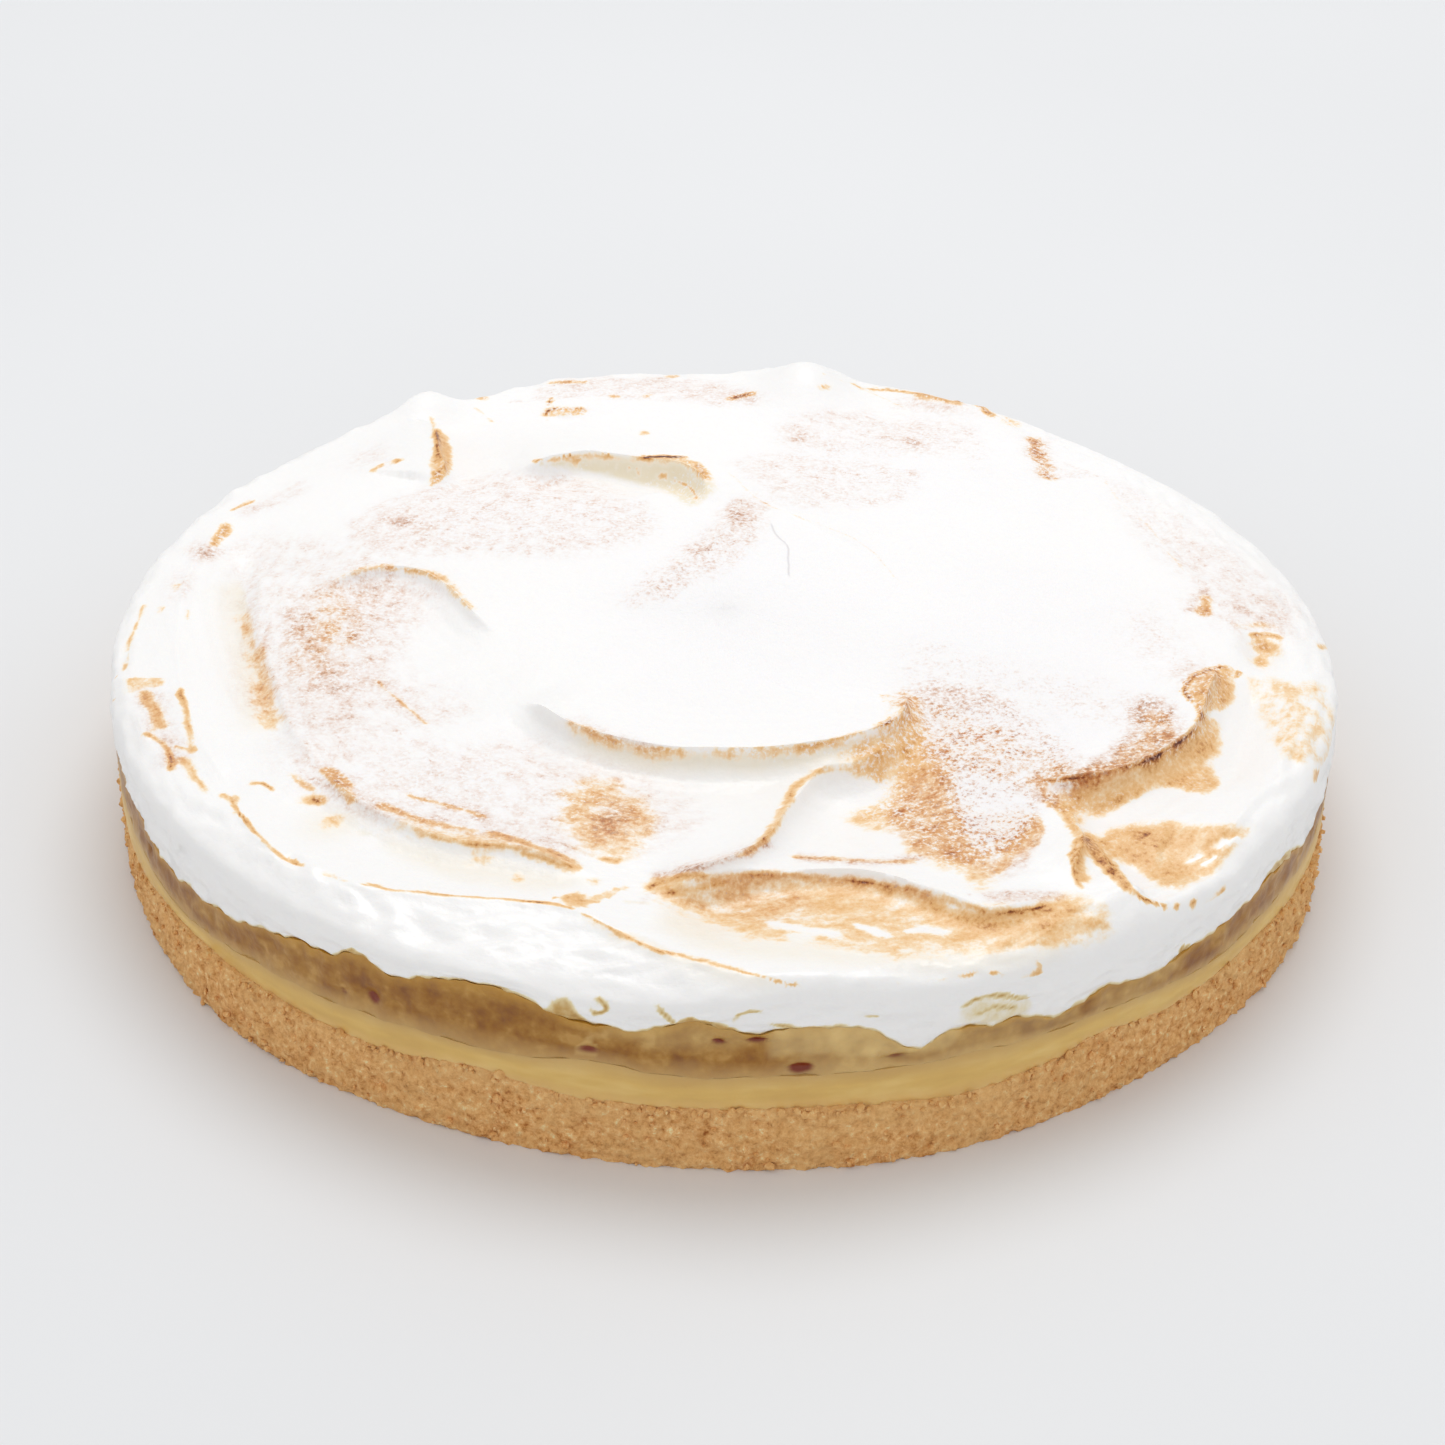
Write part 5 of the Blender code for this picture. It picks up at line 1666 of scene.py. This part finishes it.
def crust_material():
    nodes = Nodes("crust")
    level = nodes.attribute("level")
    crumbs = nodes.noise(1.5, detail=4.0, roughness=0.72)
    lumps = nodes.noise(4.0, detail=2.0)
    broad = nodes.noise(22.0, detail=1.0)
    baked = nodes.ramp(nodes.swing(crumbs), CRUST_TONES)
    paler = nodes.mix(nodes.spread(lumps, 0.4, 0.68, 0.0, 0.40), baked, wall_tone(202, 160, 107))
    sides = nodes.mix(nodes.spread(broad, 0.4, 0.65, 0.0, 0.35), paler, wall_tone(203, 166, 115))
    rim = nodes.mix(nodes.spread(level, 0.7, 1.0, 0.0, 0.35), sides, wall_tone(208, 170, 116))
    rough = nodes.bump(crumbs, strength=0.8, depth=0.8)
    grainy = nodes.bump(nodes.noise(0.5, detail=1.0), strength=0.4, depth=0.25, below=rough)
    return nodes.finish(rim, roughness=0.88, normal=grainy)


def custard_material():
    nodes = Nodes("custard")
    level = nodes.attribute("level")
    clouds = nodes.noise(6.0, stretch=(0.5, 0.5, 2.0))
    fine = nodes.noise(1.2)
    yellow = nodes.ramp(nodes.swing(clouds), CUSTARD_TONES)
    edge = nodes.mix(nodes.spread(level, 0.6, 1.0, 0.0, 0.85), yellow, SEAM_TONE)
    base = nodes.mix(nodes.spread(level, 0.0, 0.35, 0.6, 0.0), edge, wall_tone(204, 170, 118))
    nodes.see_through(weight=0.2, radius=(1.0, 0.75, 0.35), scale=1.5)
    nodes.shader.inputs["Specular IOR Level"].default_value = 0.45
    return nodes.finish(base, roughness=0.42, normal=nodes.bump(fine, strength=0.3, depth=0.25))


def compote_material():
    nodes = Nodes("compote")
    level = nodes.attribute("level")
    pit = nodes.attribute("pit")
    clouds = nodes.noise(6.0)
    pulp = nodes.noise(1.6, detail=3.0)
    mixed = nodes.math("ADD", nodes.math("MULTIPLY", clouds, 0.7), nodes.math("MULTIPLY", pulp, 0.3))
    brown = nodes.ramp(nodes.spread(mixed, 0.34, 0.66), COMPOTE_TONES)
    lower = nodes.mix(nodes.spread(level, 0.0, 0.35, 0.8, 0.0), brown, SEAM_TONE)
    golden = nodes.mix(nodes.spread(level, 0.78, 1.0, 0.0, 0.6), lower, wall_tone(184, 142, 72))
    thinned = nodes.math("MULTIPLY", nodes.attribute("pale"), nodes.swing(clouds, 0.5, 0.9), clamp=True)
    watery = nodes.mix(thinned, golden, wall_tone(204, 178, 124))
    # Painted shade: darker reddish brown the deeper a point lies in a pit.
    colour = nodes.mix(nodes.spread(pit, 0.42, 0.95, smooth=True), watery, PIT_SHADE_TONE)
    nodes.see_through(weight=0.2, radius=(1.0, 0.6, 0.25), scale=1.5)
    return nodes.finish(colour, roughness=0.36, normal=nodes.bump(pulp, strength=0.4, depth=0.4))


def floor_material():
    nodes = Nodes("floor")
    clouds = nodes.noise(240.0, detail=1.0)
    grey = nodes.ramp(nodes.swing(clouds), FLOOR_TONES)
    fine = nodes.bump(nodes.noise(6.0), strength=0.02, depth=0.05)
    return nodes.finish(grey, roughness=0.55, normal=fine)


# ---------------------------------------------------------------------------------------------
# Stage, light and camera
# ---------------------------------------------------------------------------------------------
FLOOR_RADIUS = 6.0
FLOOR_DROP = 0.05 * MM
WORLD_LIGHT = 0.76
NEAREST_SEEN = 0.01
FARTHEST_SEEN = 50.0


def make_stage():
    mesh = bmesh.new()
    bmesh.ops.create_circle(mesh, cap_ends=True, segments=96, radius=FLOOR_RADIUS)
    data = bpy.data.meshes.new("floor")
    mesh.to_mesh(data)
    mesh.free()
    floor = bpy.data.objects.new("floor", data)
    floor.location.z = -FLOOR_DROP
    data.materials.append(floor_material())
    bpy.context.scene.collection.objects.link(floor)


def add_light(name, place, size, power):
    """A round lamp of this many metres and watts, turned to the middle of the tart's base."""
    lamp = bpy.data.lights.new(name, "AREA")
    lamp.shape = "DISK"
    lamp.size = size
    lamp.energy = power
    light = bpy.data.objects.new(name, lamp)
    light.location = place
    light.rotation_euler = (-Vector(place)).to_track_quat("-Z", "Y").to_euler()
    bpy.context.scene.collection.objects.link(light)


def make_lights():
    world = bpy.data.worlds.new("studio")
    world.use_nodes = True
    background = world.node_tree.nodes["Background"]
    background.inputs["Color"].default_value = (1.0, 1.0, 1.0, 1.0)
    background.inputs["Strength"].default_value = WORLD_LIGHT
    bpy.context.scene.world = world
    bpy.context.scene.view_settings.view_transform = "Standard"
    add_light("overhead", place=(0.05, 0.5, 1.3), size=0.9, power=6.4)
    add_light("front", place=(-0.2, -1.5, 1.0), size=1.2, power=0.9)


def make_camera():
    data = bpy.data.cameras.new("camera")
    data.lens = CAMERA_LENS
    data.sensor_width = SENSOR_WIDTH
    data.sensor_fit = "HORIZONTAL"
    data.clip_start = NEAREST_SEEN
    data.clip_end = FARTHEST_SEEN
    camera = bpy.data.objects.new("camera", data)
    tilt = Matrix.Rotation(math.pi / 2 - CAMERA_PITCH, 4, "X")
    roll = Matrix.Rotation(CAMERA_ROLL, 4, "Z")
    camera.matrix_world = Matrix.Translation(CAMERA_PLACE) @ tilt @ roll
    bpy.context.scene.collection.objects.link(camera)
    bpy.context.scene.camera = camera


# ---------------------------------------------------------------------------------------------
# The tart
# ---------------------------------------------------------------------------------------------
def dress(piece, material, node=None):
    piece.data.materials.append(material)
    if node:
        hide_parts(node)


def make_tart():
    angles = column_angles(WALL_COLUMNS)
    crust_look = crust_material()
    dress(make_crust(), crust_look, "crust")
    dress(make_crumbs(), crust_look)
    custard = make_filling(
        "tart_custard", crust_seam(angles), custard_seam(angles), CRUST_HEIGHT, CUSTARD_TOP,
        belly=0.15 * MM, relief=custard_relief,
    )
    dress(custard, custard_material(), "custard")
    compote = make_filling(
        "tart_compote", custard_seam(angles), compote_seam(angles), CUSTARD_TOP, COMPOTE_TOP,
        belly=0.0, relief=compote_relief,
    )
    dress(compote, compote_material(), "compote")
    dress(make_meringue(), meringue_material(), "meringue")


make_camera()
make_lights()
make_stage()
make_tart()
